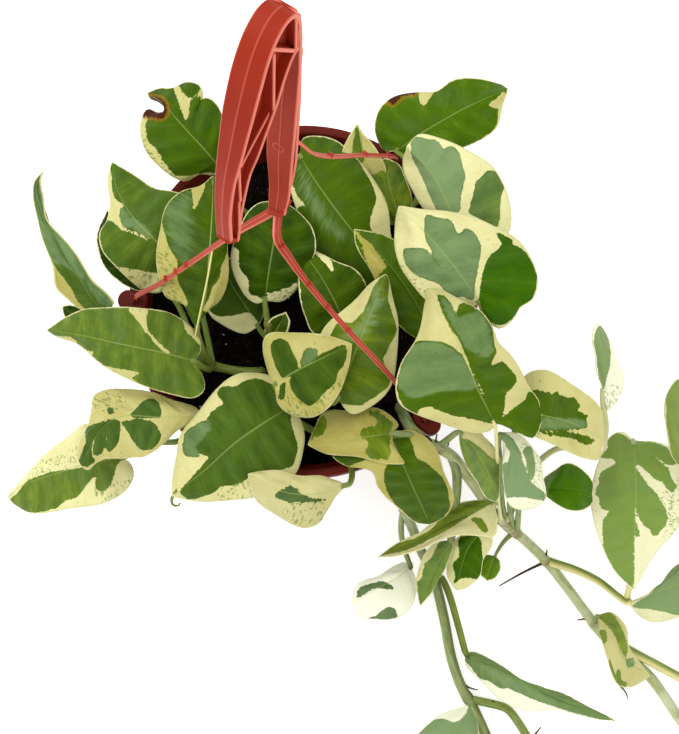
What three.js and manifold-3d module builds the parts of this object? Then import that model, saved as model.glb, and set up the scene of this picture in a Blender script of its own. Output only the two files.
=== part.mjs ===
// Potted variegated pothos in a hanging nursery pot that stands on a surface.
// Millimetres, +Z up, +X right, +Y away; the origin is the centre of the pot's underside.

import * as THREE from 'three';
import { mergeVertices } from 'three/addons/utils/BufferGeometryUtils.js';
import Module from 'manifold-3d';

const wasm = await Module();
wasm.setup();

// Driving dimensions of the pot and its soil
const POT_HEIGHT = 130;
const RIM_RADIUS = 85;
const BASE_RADIUS = 57;
const POT_WALL = 1.9;
const POT_FLOOR = 2.6;
const RIM_BAND = 10;
const RIM_OVERHANG = 4.5;
const ROUND_STEPS = 48;
const DRAIN_RADIUS = 4;
const DRAIN_RING = 40;
const DRAIN_COUNT = 6;
const SOIL_HEIGHT = 112;
const SOIL_RELIEF = 1.3;
const FIT_GAP = 0.4;
const STEM_ROOT_DEPTH = 14;

// Driving dimensions of the lugs and the hanger
const LUG_ANGLES = { left: 180, back: 55.4, front: -44.2 };
const LUG_WIDTH = 11;
const LUG_REACH = 90;
const LUG_TOP = 131.5;
const LUG_DEPTH = 10.5;
const SOCKET_RADIUS = 84.5;
const SOCKET_DEPTH = 5.5;
const STRAND_WIDTH = 3.6;
const STRAND_THICKNESS = 1.7;
const HOOK_FOOT = new THREE.Vector3(-5, 0, 263);
const HOOK_TURN = 32;
const HOOK_WEB = 1.8;
const HOOK_FLANGE = 1.5;

// Driving dimensions of the plant
const BLADE = 0.8;
const PETIOLE_RADIUS = 1.25;
const PETIOLE_SIDES = 5;
const STEM_SIDES = 6;

// The camera that the leaves were sighted through: its place, its downward tilt, its lens in
// pixels and the pixel at the middle of its picture.
const VIEW = { eye: new THREE.Vector3(17.7, -115, 603.2), tilt: 80, lens: 1000, centreX: 339.5, centreY: 367 };

// A point seen at pixel (x, y) that lies at the given height above the surface.
function sighted([x, y, height]) {
  const tilt = THREE.MathUtils.degToRad(VIEW.tilt);
  const forward = new THREE.Vector3(0, Math.cos(tilt), -Math.sin(tilt));
  const upward = new THREE.Vector3(0, Math.sin(tilt), Math.cos(tilt));
  const ray = new THREE.Vector3((x - VIEW.centreX) / VIEW.lens, 0, 0);
  ray.add(forward).addScaledVector(upward, (VIEW.centreY - y) / VIEW.lens);
  return VIEW.eye.clone().addScaledVector(ray, (height - VIEW.eye.z) / ray.z);
}

// A seeded random number from 0 to 1, so that each run gives the same part.
function seededRandom(seed) {
  let state = seed;
  return () => {
    state = (state * 1664525 + 1013904223) % 4294967296;
    return state / 4294967296;
  };
}

// A closed mesh as a solid whose faces look outwards, and back
function solidOf(geometry) {
  const bare = geometry.clone();
  bare.deleteAttribute('normal');
  bare.deleteAttribute('uv');
  const merged = mergeVertices(bare, 1e-4);
  const vertProperties = new Float32Array(merged.attributes.position.array);
  const triVerts = new Uint32Array(merged.index.array);
  const solid = new wasm.Manifold(new wasm.Mesh({ numProp: 3, vertProperties, triVerts }));
  if (solid.volume() > 0) return solid;
  for (let i = 0; i < triVerts.length; i += 3) [triVerts[i], triVerts[i + 1]] = [triVerts[i + 1], triVerts[i]];
  return new wasm.Manifold(new wasm.Mesh({ numProp: 3, vertProperties, triVerts }));
}

function geometryOf(solid) {
  const { vertProperties, triVerts } = solid.getMesh();
  const geometry = new THREE.BufferGeometry();
  geometry.setAttribute('position', new THREE.BufferAttribute(new Float32Array(vertProperties), 3));
  geometry.setIndex(new THREE.BufferAttribute(new Uint32Array(triVerts), 1));
  geometry.computeVertexNormals();
  return geometry;
}

function joined(solids) {
  return solids.reduce((whole, piece) => whole.add(piece));
}

function meshGeometry(points, triangles) {
  const geometry = new THREE.BufferGeometry();
  geometry.setAttribute('position', new THREE.Float32BufferAttribute(points.flatMap((p) => [p.x, p.y, p.z]), 3));
  geometry.setIndex(triangles.flat());
  return geometry;
}

// Rings of points joined into one closed skin, with a flat cap at each end.
function skinRings(rings) {
  const sides = rings[0].length;
  const triangles = [];
  for (let ring = 0; ring < rings.length - 1; ring += 1) {
    for (let side = 0; side < sides; side += 1) {
      const next = (side + 1) % sides;
      const [a, b] = [ring * sides + side, ring * sides + next];
      triangles.push([a, b, b + sides], [a, b + sides, a + sides]);
    }
  }
  const last = (rings.length - 1) * sides;
  for (let side = 1; side < sides - 1; side += 1) {
    triangles.push([0, side + 1, side], [last, last + side, last + side + 1]);
  }
  return meshGeometry(rings.flat(), triangles);
}

// A stalk along a smooth line, from one radius to another.
function stalk(points, startRadius, endRadius, sides, steps) {
  const line = new THREE.CatmullRomCurve3(points, false, 'centripetal');
  const frames = line.computeFrenetFrames(steps, false);
  const rings = [];
  for (let step = 0; step <= steps; step += 1) {
    const middle = line.getPointAt(step / steps);
    const radius = THREE.MathUtils.lerp(startRadius, endRadius, step / steps);
    const ring = [];
    for (let side = 0; side < sides; side += 1) {
      const angle = (2 * Math.PI * side) / sides;
      const spoke = frames.normals[step].clone().multiplyScalar(Math.cos(angle));
      spoke.addScaledVector(frames.binormals[step], Math.sin(angle));
      ring.push(middle.clone().addScaledVector(spoke, radius));
    }
    rings.push(ring);
  }
  return solidOf(skinRings(rings));
}

// A flat strip along a smooth line; its width lies along the given side direction.
function strip(points, side, width, thickness, steps) {
  const line = new THREE.CatmullRomCurve3(points, false, 'centripetal');
  const rings = [];
  for (let step = 0; step <= steps; step += 1) {
    const middle = line.getPointAt(step / steps);
    const along = line.getTangentAt(step / steps);
    const across = side.clone().addScaledVector(along, -side.dot(along)).normalize();
    const face = new THREE.Vector3().crossVectors(along, across);
    const corners = [[-1, -1], [1, -1], [1, 1], [-1, 1]];
    rings.push(corners.map(([u, v]) => middle.clone()
      .addScaledVector(across, (u * width) / 2)
      .addScaledVector(face, (v * thickness) / 2)));
  }
  return skinRings(rings);
}

// An open sheet of points and triangles made into a thin closed blade. Both faces are split
// into the same triangles.
function thickened(points, triangles, thickness) {
  const normals = points.map(() => new THREE.Vector3());
  const edges = new Map();
  for (const [a, b, c] of triangles) {
    const ab = points[b].clone().sub(points[a]);
    const ac = points[c].clone().sub(points[a]);
    const normal = ab.cross(ac);
    for (const corner of [a, b, c]) normals[corner].add(normal);
    for (const [from, to] of [[a, b], [b, c], [c, a]]) {
      if (!edges.delete(`${to} ${from}`)) edges.set(`${from} ${to}`, [from, to]);
    }
  }
  const count = points.length;
  const shifted = (sign) => points.map((p, i) => p.clone()
    .addScaledVector(normals[i].clone().normalize(), (sign * thickness) / 2));
  const faces = triangles.flatMap(([a, b, c]) => [[a, b, c], [a + count, c + count, b + count]]);
  for (const [from, to] of edges.values()) {
    faces.push([to, from, from + count], [to, from + count, to + count]);
  }
  return solidOf(meshGeometry([...shifted(1), ...shifted(-1)], faces));
}

// Stations from the base of a leaf to its tip, as shares of the margin's length, and the
// power that bends the side veins forward.
const LARGE_STATIONS = [0, 0.11, 0.26, 0.43, 0.61, 0.81, 1];
const SMALL_STATIONS = [0, 0.18, 0.42, 0.7, 1];
const SMALL_LEAF = 32;
const VEIN_SWEEP = 1.5;

// The height of a leaf's rib beside the given pixel.
function ribHeight(rib, x, y) {
  let best = Infinity;
  let height = rib[0][2];
  for (let i = 0; i < rib.length - 1; i += 1) {
    const [[x0, y0, z0], [x1, y1, z1]] = [rib[i], rib[i + 1]];
    const span = (x1 - x0) ** 2 + (y1 - y0) ** 2;
    const share = THREE.MathUtils.clamp(((x - x0) * (x1 - x0) + (y - y0) * (y1 - y0)) / span, 0, 1);
    const away = Math.hypot(x0 + share * (x1 - x0) - x, y0 + share * (y1 - y0) - y);
    if (away < best) {
      best = away;
      height = z0 + share * (z1 - z0);
    }
  }
  return height;
}

// A leaf blade: rib and margins are sighted points [x, y, height]; a margin point's third
// value, if any, is added to its side's lift above the rib.
function leafBlade({ rib, left, right, lift = [-4, -4], arch = 2 }) {
  const spine = new THREE.CatmullRomCurve3(rib.map(sighted), false, 'centripetal');
  const [base, tip] = [sighted(rib[0]), sighted(rib[rib.length - 1])];
  const margins = [left, right].map((margin, side) => {
    const edge = margin.map(([x, y, extra = 0]) => sighted([x, y, ribHeight(rib, x, y) + lift[side] + extra]));
    return new THREE.CatmullRomCurve3([base, ...edge, tip], false, 'centripetal');
  });
  const middleShare = 0.5;
  const toEye = VIEW.eye.clone().sub(base).normalize();
  const stations = spine.getLength() < SMALL_LEAF ? SMALL_STATIONS : LARGE_STATIONS;
  const rows = stations.map((station) => {
    const onRib = spine.getPointAt(station ** VEIN_SWEEP);
    const [onLeft, onRight] = margins.map((margin) => margin.getPointAt(station));
    const rise = arch * Math.sin(Math.PI * station);
    const halfway = (edge) => onRib.clone().lerp(edge, middleShare).addScaledVector(toEye, rise);
    return [onLeft, halfway(onLeft), onRib, halfway(onRight), onRight];
  });
  const across = rows[0].length;
  const points = [base, ...rows.slice(1, -1).flat(), tip];
  const index = (row, column) => {
    if (row === 0) return 0;
    if (row === rows.length - 1) return points.length - 1;
    return 1 + (row - 1) * across + column;
  };
  const triangles = [];
  for (let row = 0; row < rows.length - 1; row += 1) {
    for (let column = 0; column < across - 1; column += 1) {
      const [a, b] = [index(row, column), index(row, column + 1)];
      const [c, d] = [index(row + 1, column + 1), index(row + 1, column)];
      if (a !== b) triangles.push([a, b, c]);
      if (c !== d) triangles.push([a, c, d]);
    }
  }
  return thickened(points, triangles, BLADE);
}

// A leaf with its petiole, which starts inside the blade and ends inside the stem.
function leafSolids(leaf) {
  const solids = [leafBlade(leaf)];
  if (leaf.petiole) {
    const [base, next] = [sighted(leaf.rib[0]), sighted(leaf.rib[1])];
    const inside = base.clone().lerp(next, 0.12);
    const route = [inside, base.clone().setZ(base.z - 0.4), ...leaf.petiole.map(sighted)];
    const steps = leaf.petiole.length + 2;
    solids.push(stalk(route, PETIOLE_RADIUS, PETIOLE_RADIUS * 1.25, PETIOLE_SIDES, steps));
  }
  return solids;
}

// A leafy stem: its own stalks and its leaves, all grown together.
function leafyStem({ root, stems, leaves }) {
  const pieces = stems.map(({ line, radius, rooted }) => {
    const route = line.map(sighted);
    if (rooted) {
      const entry = sighted([...root, SOIL_HEIGHT]);
      route.unshift(entry.clone().setZ(SOIL_HEIGHT + 5));
      route.unshift(entry.clone().setZ(SOIL_HEIGHT - 2));
      route.unshift(entry.clone().setZ(SOIL_HEIGHT - STEM_ROOT_DEPTH + 1));
    }
    return stalk(route, radius, radius * 0.85, STEM_SIDES, route.length + 2);
  });
  return geometryOf(joined([...pieces, ...Object.values(leaves).flatMap(leafSolids)]));
}

// Leaves and stems of the left side of the pot
const LEFT_STEM = {
  root: [262, 373],
  stems: [{ line: [[258, 372, 123], [238, 371, 125], [213, 366, 126]], radius: 2.5, rooted: true }],
  leaves: {
    crested: {
      rib: [[197, 329, 158], [205, 300, 166], [209, 262, 172], [212, 220, 170], [213, 176, 162]],
      left: [[189, 314], [182, 303], [166, 298, -2], [159, 268, -4], [159, 236, -2], [165, 207], [181, 193], [200, 187]],
      right: [[205, 311], [217, 302], [228, 272], [229, 245], [226, 212], [220, 188]],
      lift: [-8, -8],
      petiole: [[199, 338, 153], [206, 356, 138], [213, 366, 127]],
    },
    broad: {
      rib: [[194, 361, 158], [160, 352, 168], [120, 344, 172], [80, 335, 166], [47, 330, 152]],
      left: [[203, 378], [203, 391], [194, 397], [175, 395], [144, 387], [112, 369], [77, 345], [58, 337]],
      right: [[200, 350], [198, 336], [187, 322], [168, 312], [140, 310], [112, 307], [87, 308], [68, 317]],
      lift: [-6, -4],
      petiole: [[201, 366, 150], [209, 369, 136], [213, 367, 127]],
    },
    pointed: {
      rib: [[178, 262, 146], [156, 241, 150], [132, 216, 150], [118, 192, 147], [112, 162, 140]],
      left: [[176, 275, -3], [162, 291, -7], [145, 291, -9], [130, 281, -5], [113, 264], [103, 250],
        [101, 235], [107, 222], [109, 205], [108, 180]],
      right: [[190, 250], [196, 225], [188, 200], [172, 192], [155, 187], [131, 174]],
      lift: [-4, -4],
      petiole: [[184, 272, 141], [198, 300, 134], [208, 340, 128], [213, 366, 126]],
    },
    shaded: {
      rib: [[150, 284, 136], [125, 265, 137], [108, 238, 134], [108, 209, 130]],
      left: [[139, 291], [115, 277], [102, 264], [98, 248], [99, 230]],
      right: [[140, 268], [125, 248], [116, 230], [112, 218]],
      lift: [-3, 0],
      arch: 1,
      petiole: [[160, 286, 136], [177, 303, 134], [196, 345, 128], [212, 366, 126]],
    },
    folded: {
      rib: [[112, 306, 146], [92, 270, 148], [68, 232, 146], [50, 200, 138], [42, 172, 128]],
      left: [[98, 310], [80, 303], [62, 287], [54, 268], [45, 235], [36, 207], [34, 187]],
      right: [[116, 300], [104, 287], [88, 265], [72, 250], [56, 232], [46, 210], [43, 196]],
      lift: [8, 10],
      arch: -1,
      petiole: [[125, 316, 146], [165, 340, 142], [205, 362, 130], [213, 367, 126]],
    },
    tucked: {
      rib: [[104, 330, 148], [82, 320, 150], [62, 306, 148]],
      left: [[90, 330], [66, 319]],
      right: [[94, 314], [72, 306]],
      lift: [-2, -2],
      arch: 1,
      petiole: [[118, 330, 147], [140, 326, 145]],
    },
  },
};

// Leaves and stem of the front left
const FRONT_LEFT_STEM = {
  root: [224, 425],
  stems: [{ line: [[221, 427, 126], [216, 428, 134], [212, 426, 140]], radius: 2.1, rooted: true }],
  leaves: {
    drooping: {
      rib: [[201, 416, 143], [160, 417, 151], [122, 416, 149], [102, 428, 143], [81, 466, 132]],
      left: [[190, 424], [175, 432], [160, 444], [146, 456], [128, 458], [108, 457], [97, 462], [88, 470]],
      right: [[196, 408], [171, 401], [152, 392], [131, 388], [108, 390], [96, 396], [93, 408],
        [88, 424], [80, 440], [77, 455]],
      petiole: [[206, 420, 141], [212, 425, 139]],
    },
    lowest: {
      rib: [[122, 458, 110], [96, 462, 115], [60, 472, 114], [25, 484, 106], [8, 497, 97]],
      left: [[131, 464], [134, 476], [126, 490], [105, 502], [72, 509], [42, 513], [26, 511], [14, 504]],
      right: [[112, 440], [98, 428], [84, 424], [66, 437], [47, 455], [30, 470], [18, 483]],
      petiole: [[136, 452, 112], [156, 443, 124], [178, 441, 135], [198, 433, 138], [211, 426, 139]],
    },
  },
};

// Leaves and stem of the front
const FRONT_STEM = {
  root: [291, 427],
  stems: [{ line: [[292, 424, 126], [291, 418, 138], [288, 412, 147]], radius: 2.3, rooted: true }],
  leaves: {
    large: {
      rib: [[287, 409, 150], [262, 424, 158], [235, 443, 158], [205, 470, 150], [172, 496, 136]],
      left: [[296, 414], [303, 430], [304, 446], [297, 472], [274, 488], [248, 498], [211, 502], [187, 499]],
      right: [[284, 390], [272, 376], [252, 373], [234, 377], [216, 391], [196, 413], [181, 434],
        [178, 455], [173, 478]],
      lift: [-6, -6],
      petiole: [[289, 411, 149], [289, 413, 145]],
    },
    upper: {
      rib: [[275, 384, 164], [292, 373, 172], [318, 360, 178], [352, 344, 180]],
      left: [[268, 372], [264, 352], [268, 335], [289, 332], [319, 335], [338, 339]],
      right: [[279, 404], [290, 413], [311, 418], [328, 408], [340, 390], [349, 366]],
      petiole: [[278, 392, 160], [284, 404, 153], [288, 412, 146]],
    },
    pale: {
      rib: [[345, 485, 158], [318, 494, 166], [285, 492, 168], [248, 474, 162]],
      left: [[333, 500], [326, 512], [318, 522], [304, 526], [281, 519], [258, 501]],
      right: [[338, 481], [311, 476], [281, 472], [262, 471]],
      lift: [-14, -3],
      petiole: [[349, 484, 152], [352, 476, 139], [351, 466, 134], [338, 445, 132], [312, 430, 132],
        [293, 420, 136]],
    },
  },
};

// Leaves and stem of the middle
const CENTRE_STEM = {
  root: [272, 345],
  stems: [{ line: [[271, 341, 126], [270, 334, 134], [268, 322, 142]], radius: 2.2, rooted: true }],
  leaves: {
    behindShank: {
      rib: [[265, 300, 146], [269, 270, 156], [275, 235, 160], [281, 202, 154]],
      left: [[256, 303], [246, 297], [237, 281], [232, 252], [238, 230], [248, 213], [262, 203]],
      right: [[282, 301], [299, 284], [312, 262], [316, 248], [310, 226], [294, 208]],
      petiole: [[266, 310, 143], [268, 322, 140]],
    },
    low: {
      rib: [[258, 326, 128], [245, 305, 132], [232, 285, 134], [222, 262, 132]],
      left: [[245, 333], [228, 328], [212, 317], [207, 305], [212, 280]],
      right: [[264, 312], [262, 290], [248, 268], [233, 258]],
      lift: [-2, -2],
      arch: 1,
      petiole: [[262, 332, 126], [270, 340, 125]],
    },
    middle: {
      rib: [[346, 326, 146], [335, 302, 152], [318, 272, 156], [297, 246, 150]],
      left: [[330, 334], [313, 333], [304, 314], [299, 283], [295, 258]],
      right: [[360, 320], [368, 300], [366, 287], [355, 270], [333, 259], [308, 250]],
      lift: [-3, -3],
      petiole: [[340, 338, 140], [310, 345, 133], [285, 348, 128], [272, 343, 124]],
    },
    tall: {
      rib: [[338, 398, 160], [350, 365, 168], [368, 320, 171], [386, 274, 165]],
      left: [[326, 404], [322, 390], [318, 360], [322, 335], [340, 313], [358, 296], [371, 284]],
      right: [[352, 414], [375, 404], [390, 385], [396, 362], [399, 340], [398, 322], [392, 300], [389, 282]],
      lift: [-5, -4],
      petiole: [[333, 403, 155], [320, 398, 144], [300, 378, 133], [280, 358, 128], [272, 343, 126]],
    },
    sprout: {
      rib: [[272, 338, 134], [279, 325, 142], [286, 312, 144]],
      left: [[265, 331], [272, 318]],
      right: [[286, 334], [290, 322]],
      lift: [2, 2],
      arch: 0,
      petiole: [[271, 340, 131], [270, 342, 128]],
    },
  },
};

// Leaves and stem of the back
const BACK_STEM = {
  root: [285, 186],
  stems: [{ line: [[286, 182, 126], [289, 172, 133], [296, 161, 138]], radius: 2.2, rooted: true }],
  leaves: {
    long: {
      rib: [[300, 156, 140], [318, 185, 147], [350, 228, 149], [385, 270, 144], [402, 292, 138]],
      left: [[310, 140], [323, 134], [340, 141], [360, 160], [375, 178], [386, 205], [390, 235], [398, 262]],
      right: [[290, 165], [290, 185], [296, 210], [308, 230], [318, 252], [340, 268], [366, 287], [388, 298]],
      lift: [-5, -6],
      petiole: [[298, 158, 139], [295, 162, 137]],
    },
    bitten: {
      rib: [[222, 170, 140], [205, 150, 150], [180, 123, 152], [165, 106, 148], [148, 93, 140]],
      left: [[214, 175], [199, 174], [183, 180], [162, 169], [147, 154], [141, 138], [142, 124], [148, 111],
        [160, 115], [165, 109], [158, 102], [150, 98]],
      right: [[226, 160], [226, 135], [220, 109], [208, 99], [199, 102], [202, 92], [198, 84], [186, 81],
        [172, 88], [160, 89]],
      petiole: [[229, 180, 136], [250, 190, 131], [270, 190, 127], [285, 184, 125]],
    },
  },
};

// Leaves and stem of the back right
const BACK_RIGHT_STEM = {
  root: [392, 213],
  stems: [{ line: [[391, 207, 126], [386, 196, 129], [379, 184, 131]], radius: 2.2, rooted: true }],
  leaves: {
    scorched: {
      rib: [[396, 151, 138], [425, 131, 146], [465, 108, 150], [508, 89, 148]],
      left: [[383, 150], [375, 130], [380, 111], [394, 98], [417, 91], [437, 90], [454, 81], [482, 80],
        [500, 84]],
      right: [[410, 160], [440, 154], [465, 147], [497, 127], [503, 105]],
      lift: [-6, -4],
      petiole: [[387, 151, 137], [377, 158, 135], [374, 172, 133], [379, 185, 130]],
    },
    lobed: {
      rib: [[462, 246, 158], [452, 215, 166], [436, 180, 168], [407, 146, 160]],
      left: [[450, 240], [428, 213], [416, 200], [408, 182], [404, 162]],
      right: [[490, 246], [508, 232], [509, 196], [494, 168], [469, 153], [443, 139], [420, 134]],
      lift: [-16, -4],
      petiole: [[462, 256, 152], [445, 254, 138], [415, 228, 127], [391, 208, 125]],
    },
    spear: {
      rib: [[375, 188, 134], [368, 160, 138], [357, 124, 138]],
      left: [[366, 175], [359, 145]],
      right: [[381, 170], [373, 140]],
      lift: [2, 2],
      arch: 0,
      petiole: [[379, 196, 130], [385, 198, 128]],
    },
    glossy: {
      rib: [[402, 226, 128], [397, 206, 134], [390, 184, 137], [384, 168, 136]],
      left: [[390, 222], [382, 205], [378, 185]],
      right: [[410, 206], [404, 186], [394, 170]],
      lift: [-1, -1],
      arch: 1,
      petiole: [[402, 224, 124], [393, 211, 120]],
    },
  },
};

// Leaves and stem of the right side
const RIGHT_STEM = {
  root: [418, 354],
  stems: [{ line: [[420, 352, 126], [430, 349, 135], [445, 347, 143]], radius: 2.2, rooted: true }],
  leaves: {
    heart: {
      rib: [[480, 303, 178], [462, 277, 186], [432, 240, 186], [399, 206, 177]],
      left: [[462, 309], [440, 306], [424, 298], [404, 274], [396, 244], [395, 222]],
      right: [[490, 320], [499, 328], [512, 320], [520, 308], [534, 299], [539, 280], [534, 264], [518, 242],
        [497, 229], [475, 217], [450, 211], [422, 210]],
      lift: [-10, -6],
      petiole: [[485, 312, 174], [497, 330, 168], [496, 355, 158], [470, 362, 150], [447, 348, 143]],
    },
    dark: {
      rib: [[442, 352, 146], [425, 318, 152], [395, 272, 158], [354, 229, 159]],
      left: [[425, 345], [400, 325], [383, 300], [370, 268], [356, 245]],
      right: [[450, 330], [440, 300], [420, 262], [385, 235]],
      lift: [-2, -3],
      petiole: [[445, 351, 144], [446, 348, 142]],
    },
  },
};

// The vine that leaves the pot at the front right and trails to the right along the surface
const RIGHT_VINE = {
  root: [400, 408],
  stems: [
    {
      line: [[404, 416, 130], [412, 430, 137], [424, 441, 138], [437, 447, 134], [452, 456, 125],
        [463, 470, 110], [476, 488, 84], [490, 508, 58], [508, 526, 34], [528, 543, 17], [546, 561, 8],
        [566, 586, 4.5], [586, 613, 4], [604, 636, 4], [628, 657, 4], [651, 678, 4], [679, 718, 4],
        [697, 742, 4]],
      radius: 2.6,
      rooted: true,
    },
    { line: [[603, 634, 4.5], [629, 650, 5], [655, 664, 5], [679, 677, 5], [705, 692, 5]], radius: 2.3 },
    { line: [[451, 455, 126], [456, 470, 116], [457, 487, 98], [455, 507, 74], [452, 526, 56], [451, 540, 46]], radius: 2 },
    { line: [[547, 561, 8], [524, 572, 5], [499, 586, 2.5]], radius: 0.9 },
  ],
  leaves: {
    top: {
      rib: [[495, 424, 168], [478, 389, 184], [462, 350, 194], [446, 318, 196], [429, 288, 190]],
      left: [[488, 431], [478, 432], [445, 424], [417, 416], [400, 404], [396, 388], [401, 366], [417, 336],
        [425, 304]],
      right: [[505, 424], [520, 432], [534, 438], [543, 418], [540, 402], [526, 384], [512, 357], [499, 341],
        [494, 328], [482, 312], [460, 301], [440, 290]],
      lift: [-8, -6],
      petiole: [[496, 432, 162], [497, 455, 138], [498, 480, 108], [499, 505, 70], [503, 521, 42],
        [509, 527, 34]],
    },
    creamEdged: {
      rib: [[518, 412, 156], [545, 416, 162], [575, 424, 158], [603, 441, 146]],
      left: [[515, 392], [527, 375], [545, 371], [565, 379], [585, 393], [600, 410], [604, 428]],
      right: [[525, 428], [541, 439], [565, 450], [585, 458], [598, 460]],
      petiole: [[514, 418, 148], [515, 438, 130], [513, 470, 104], [510, 505, 62], [513, 530, 30]],
    },
    greyGreen: {
      rib: [[502, 433, 145], [513, 449, 142], [527, 468, 137], [546, 498, 123]],
      left: [[503, 450], [504, 472], [505, 495], [512, 507], [530, 508], [542, 503]],
      right: [[512, 433], [527, 441], [538, 455], [541, 470], [545, 485]],
      lift: [-6, -3],
      arch: 1,
      petiole: [[499, 438, 141], [501, 468, 109], [502, 503, 61], [506, 523, 38]],
    },
    round: {
      rib: [[541, 488, 108], [560, 488, 112], [580, 490, 110], [592, 494, 104]],
      left: [[545, 478], [556, 469], [568, 464], [582, 469], [592, 482]],
      right: [[547, 497], [558, 504], [572, 511], [584, 509], [592, 502]],
      lift: [-3, -3],
      petiole: [[534, 488, 102], [521, 502, 72], [517, 533, 26]],
    },
    slender: {
      rib: [[603, 392, 128], [606, 372, 138], [603, 350, 142], [597, 323, 136]],
      left: [[599, 378], [595, 362], [593, 345], [593, 330]],
      right: [[609, 411], [618, 398], [623, 382], [620, 364], [611, 346], [602, 328]],
      lift: [4, -6],
      arch: 0,
      petiole: [[603, 402, 123], [606, 425, 117], [603, 443, 114], [590, 450, 110], [560, 448, 102],
        [535, 466, 88], [517, 502, 60], [505, 523, 38]],
    },
    fingered: {
      rib: [[633, 440, 74], [636, 480, 84], [635, 530, 84], [634, 590, 64]],
      left: [[640, 441], [655, 442], [672, 450], [684, 470], [686, 498], [680, 521], [662, 545], [648, 566]],
      right: [[622, 432], [610, 437], [600, 456], [594, 475], [591, 498], [594, 522], [602, 548], [616, 572]],
      petiole: [[634, 452, 64], [637, 500, 50], [634, 560, 40], [626, 601, 33]],
    },
    edge: {
      rib: [[690, 470, 96], [688, 440, 102], [686, 410, 102], [684, 378, 96]],
      left: [[676, 462], [668, 440], [664, 415], [668, 392], [676, 380]],
      right: [[702, 460], [708, 430], [706, 400], [696, 382]],
      petiole: [[692, 482, 86], [676, 502, 64], [637, 508, 49]],
    },
    outer: {
      rib: [[628, 603, 36], [655, 592, 44], [685, 582, 44], [718, 574, 34]],
      left: [[637, 605], [650, 597], [664, 583], [679, 562], [698, 553], [712, 560]],
      right: [[640, 616], [655, 621], [680, 618], [702, 604]],
      petiole: [[619, 597, 32], [598, 581, 22], [575, 570, 13], [556, 564, 9], [547, 561, 8]],
    },
    curled: {
      rib: [[598, 616, 10], [614, 632, 20], [622, 655, 22], [650, 676, 12]],
      left: [[612, 612], [624, 626], [630, 646], [638, 662]],
      right: [[601, 636], [608, 660], [617, 684], [634, 686]],
      lift: [-3, 3],
      petiole: [[596, 619, 8], [594, 624, 4.5]],
    },
    yellowed: {
      rib: [[392, 433, 148], [366, 437, 153], [338, 442, 152], [308, 445, 146]],
      left: [[393, 446], [405, 463], [389, 463], [366, 459], [340, 455], [324, 452]],
      right: [[398, 424], [376, 409], [350, 410], [325, 413], [314, 430]],
      petiole: [[398, 433, 147], [410, 435, 143], [417, 437, 140]],
    },
    overRim: {
      rib: [[393, 436, 144], [400, 457, 145], [412, 485, 131], [430, 524, 100]],
      left: [[405, 430], [418, 433], [433, 446], [446, 476], [453, 502], [446, 516]],
      right: [[380, 442], [352, 449, 1], [332, 455, 3], [346, 466, 4], [371, 470, 3], [378, 485], [387, 498], [402, 512],
        [417, 522]],
      lift: [-2, -4],
      petiole: [[400, 435, 144], [413, 437, 140], [420, 440, 138]],
    },
    olive: {
      rib: [[460, 432, 142], [478, 455, 138], [490, 478, 128], [497, 502, 112]],
      left: [[466, 419], [480, 431], [493, 446], [499, 460], [500, 482]],
      right: [[460, 447], [467, 465], [478, 485], [488, 498]],
      lift: [-3, -3],
      arch: 1,
      petiole: [[456, 433, 140], [447, 440, 136], [438, 447, 134]],
    },
    narrow: {
      rib: [[495, 502, 82], [460, 518, 78], [425, 537, 68], [378, 557, 52]],
      left: [[480, 520], [455, 529], [437, 540], [420, 549], [400, 556]],
      right: [[480, 500], [455, 505], [438, 517], [420, 533], [397, 543]],
      lift: [6, -2],
      arch: 0,
      petiole: [[494, 505, 76], [490, 509, 60]],
    },
    small: {
      rib: [[452, 541, 46], [440, 562, 42], [430, 585, 34], [420, 606, 26]],
      left: [[452, 552], [443, 570], [433, 590]],
      right: [[438, 542], [424, 555], [418, 573], [417, 590]],
      lift: [-3, -3],
      arch: 1,
      petiole: [[452, 539, 47], [452, 534, 50]],
    },
    curledOver: {
      rib: [[486, 528, 46], [470, 545, 42], [462, 565, 34], [456, 590, 22]],
      left: [[492, 540], [484, 560], [478, 577], [466, 588]],
      right: [[470, 530], [454, 540], [448, 556], [447, 575]],
      lift: [-3, -3],
      petiole: [[493, 524, 43], [500, 521, 42], [504, 522, 40]],
    },
    oval: {
      rib: [[495, 556, 20], [491, 567, 20], [487, 581, 15]],
      left: [[498, 564], [495, 576]],
      right: [[484, 556], [482, 571]],
      lift: [-1, -1],
      arch: 1,
      petiole: [[498, 550, 22], [505, 540, 26], [514, 532, 28]],
    },
  },
};

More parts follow.
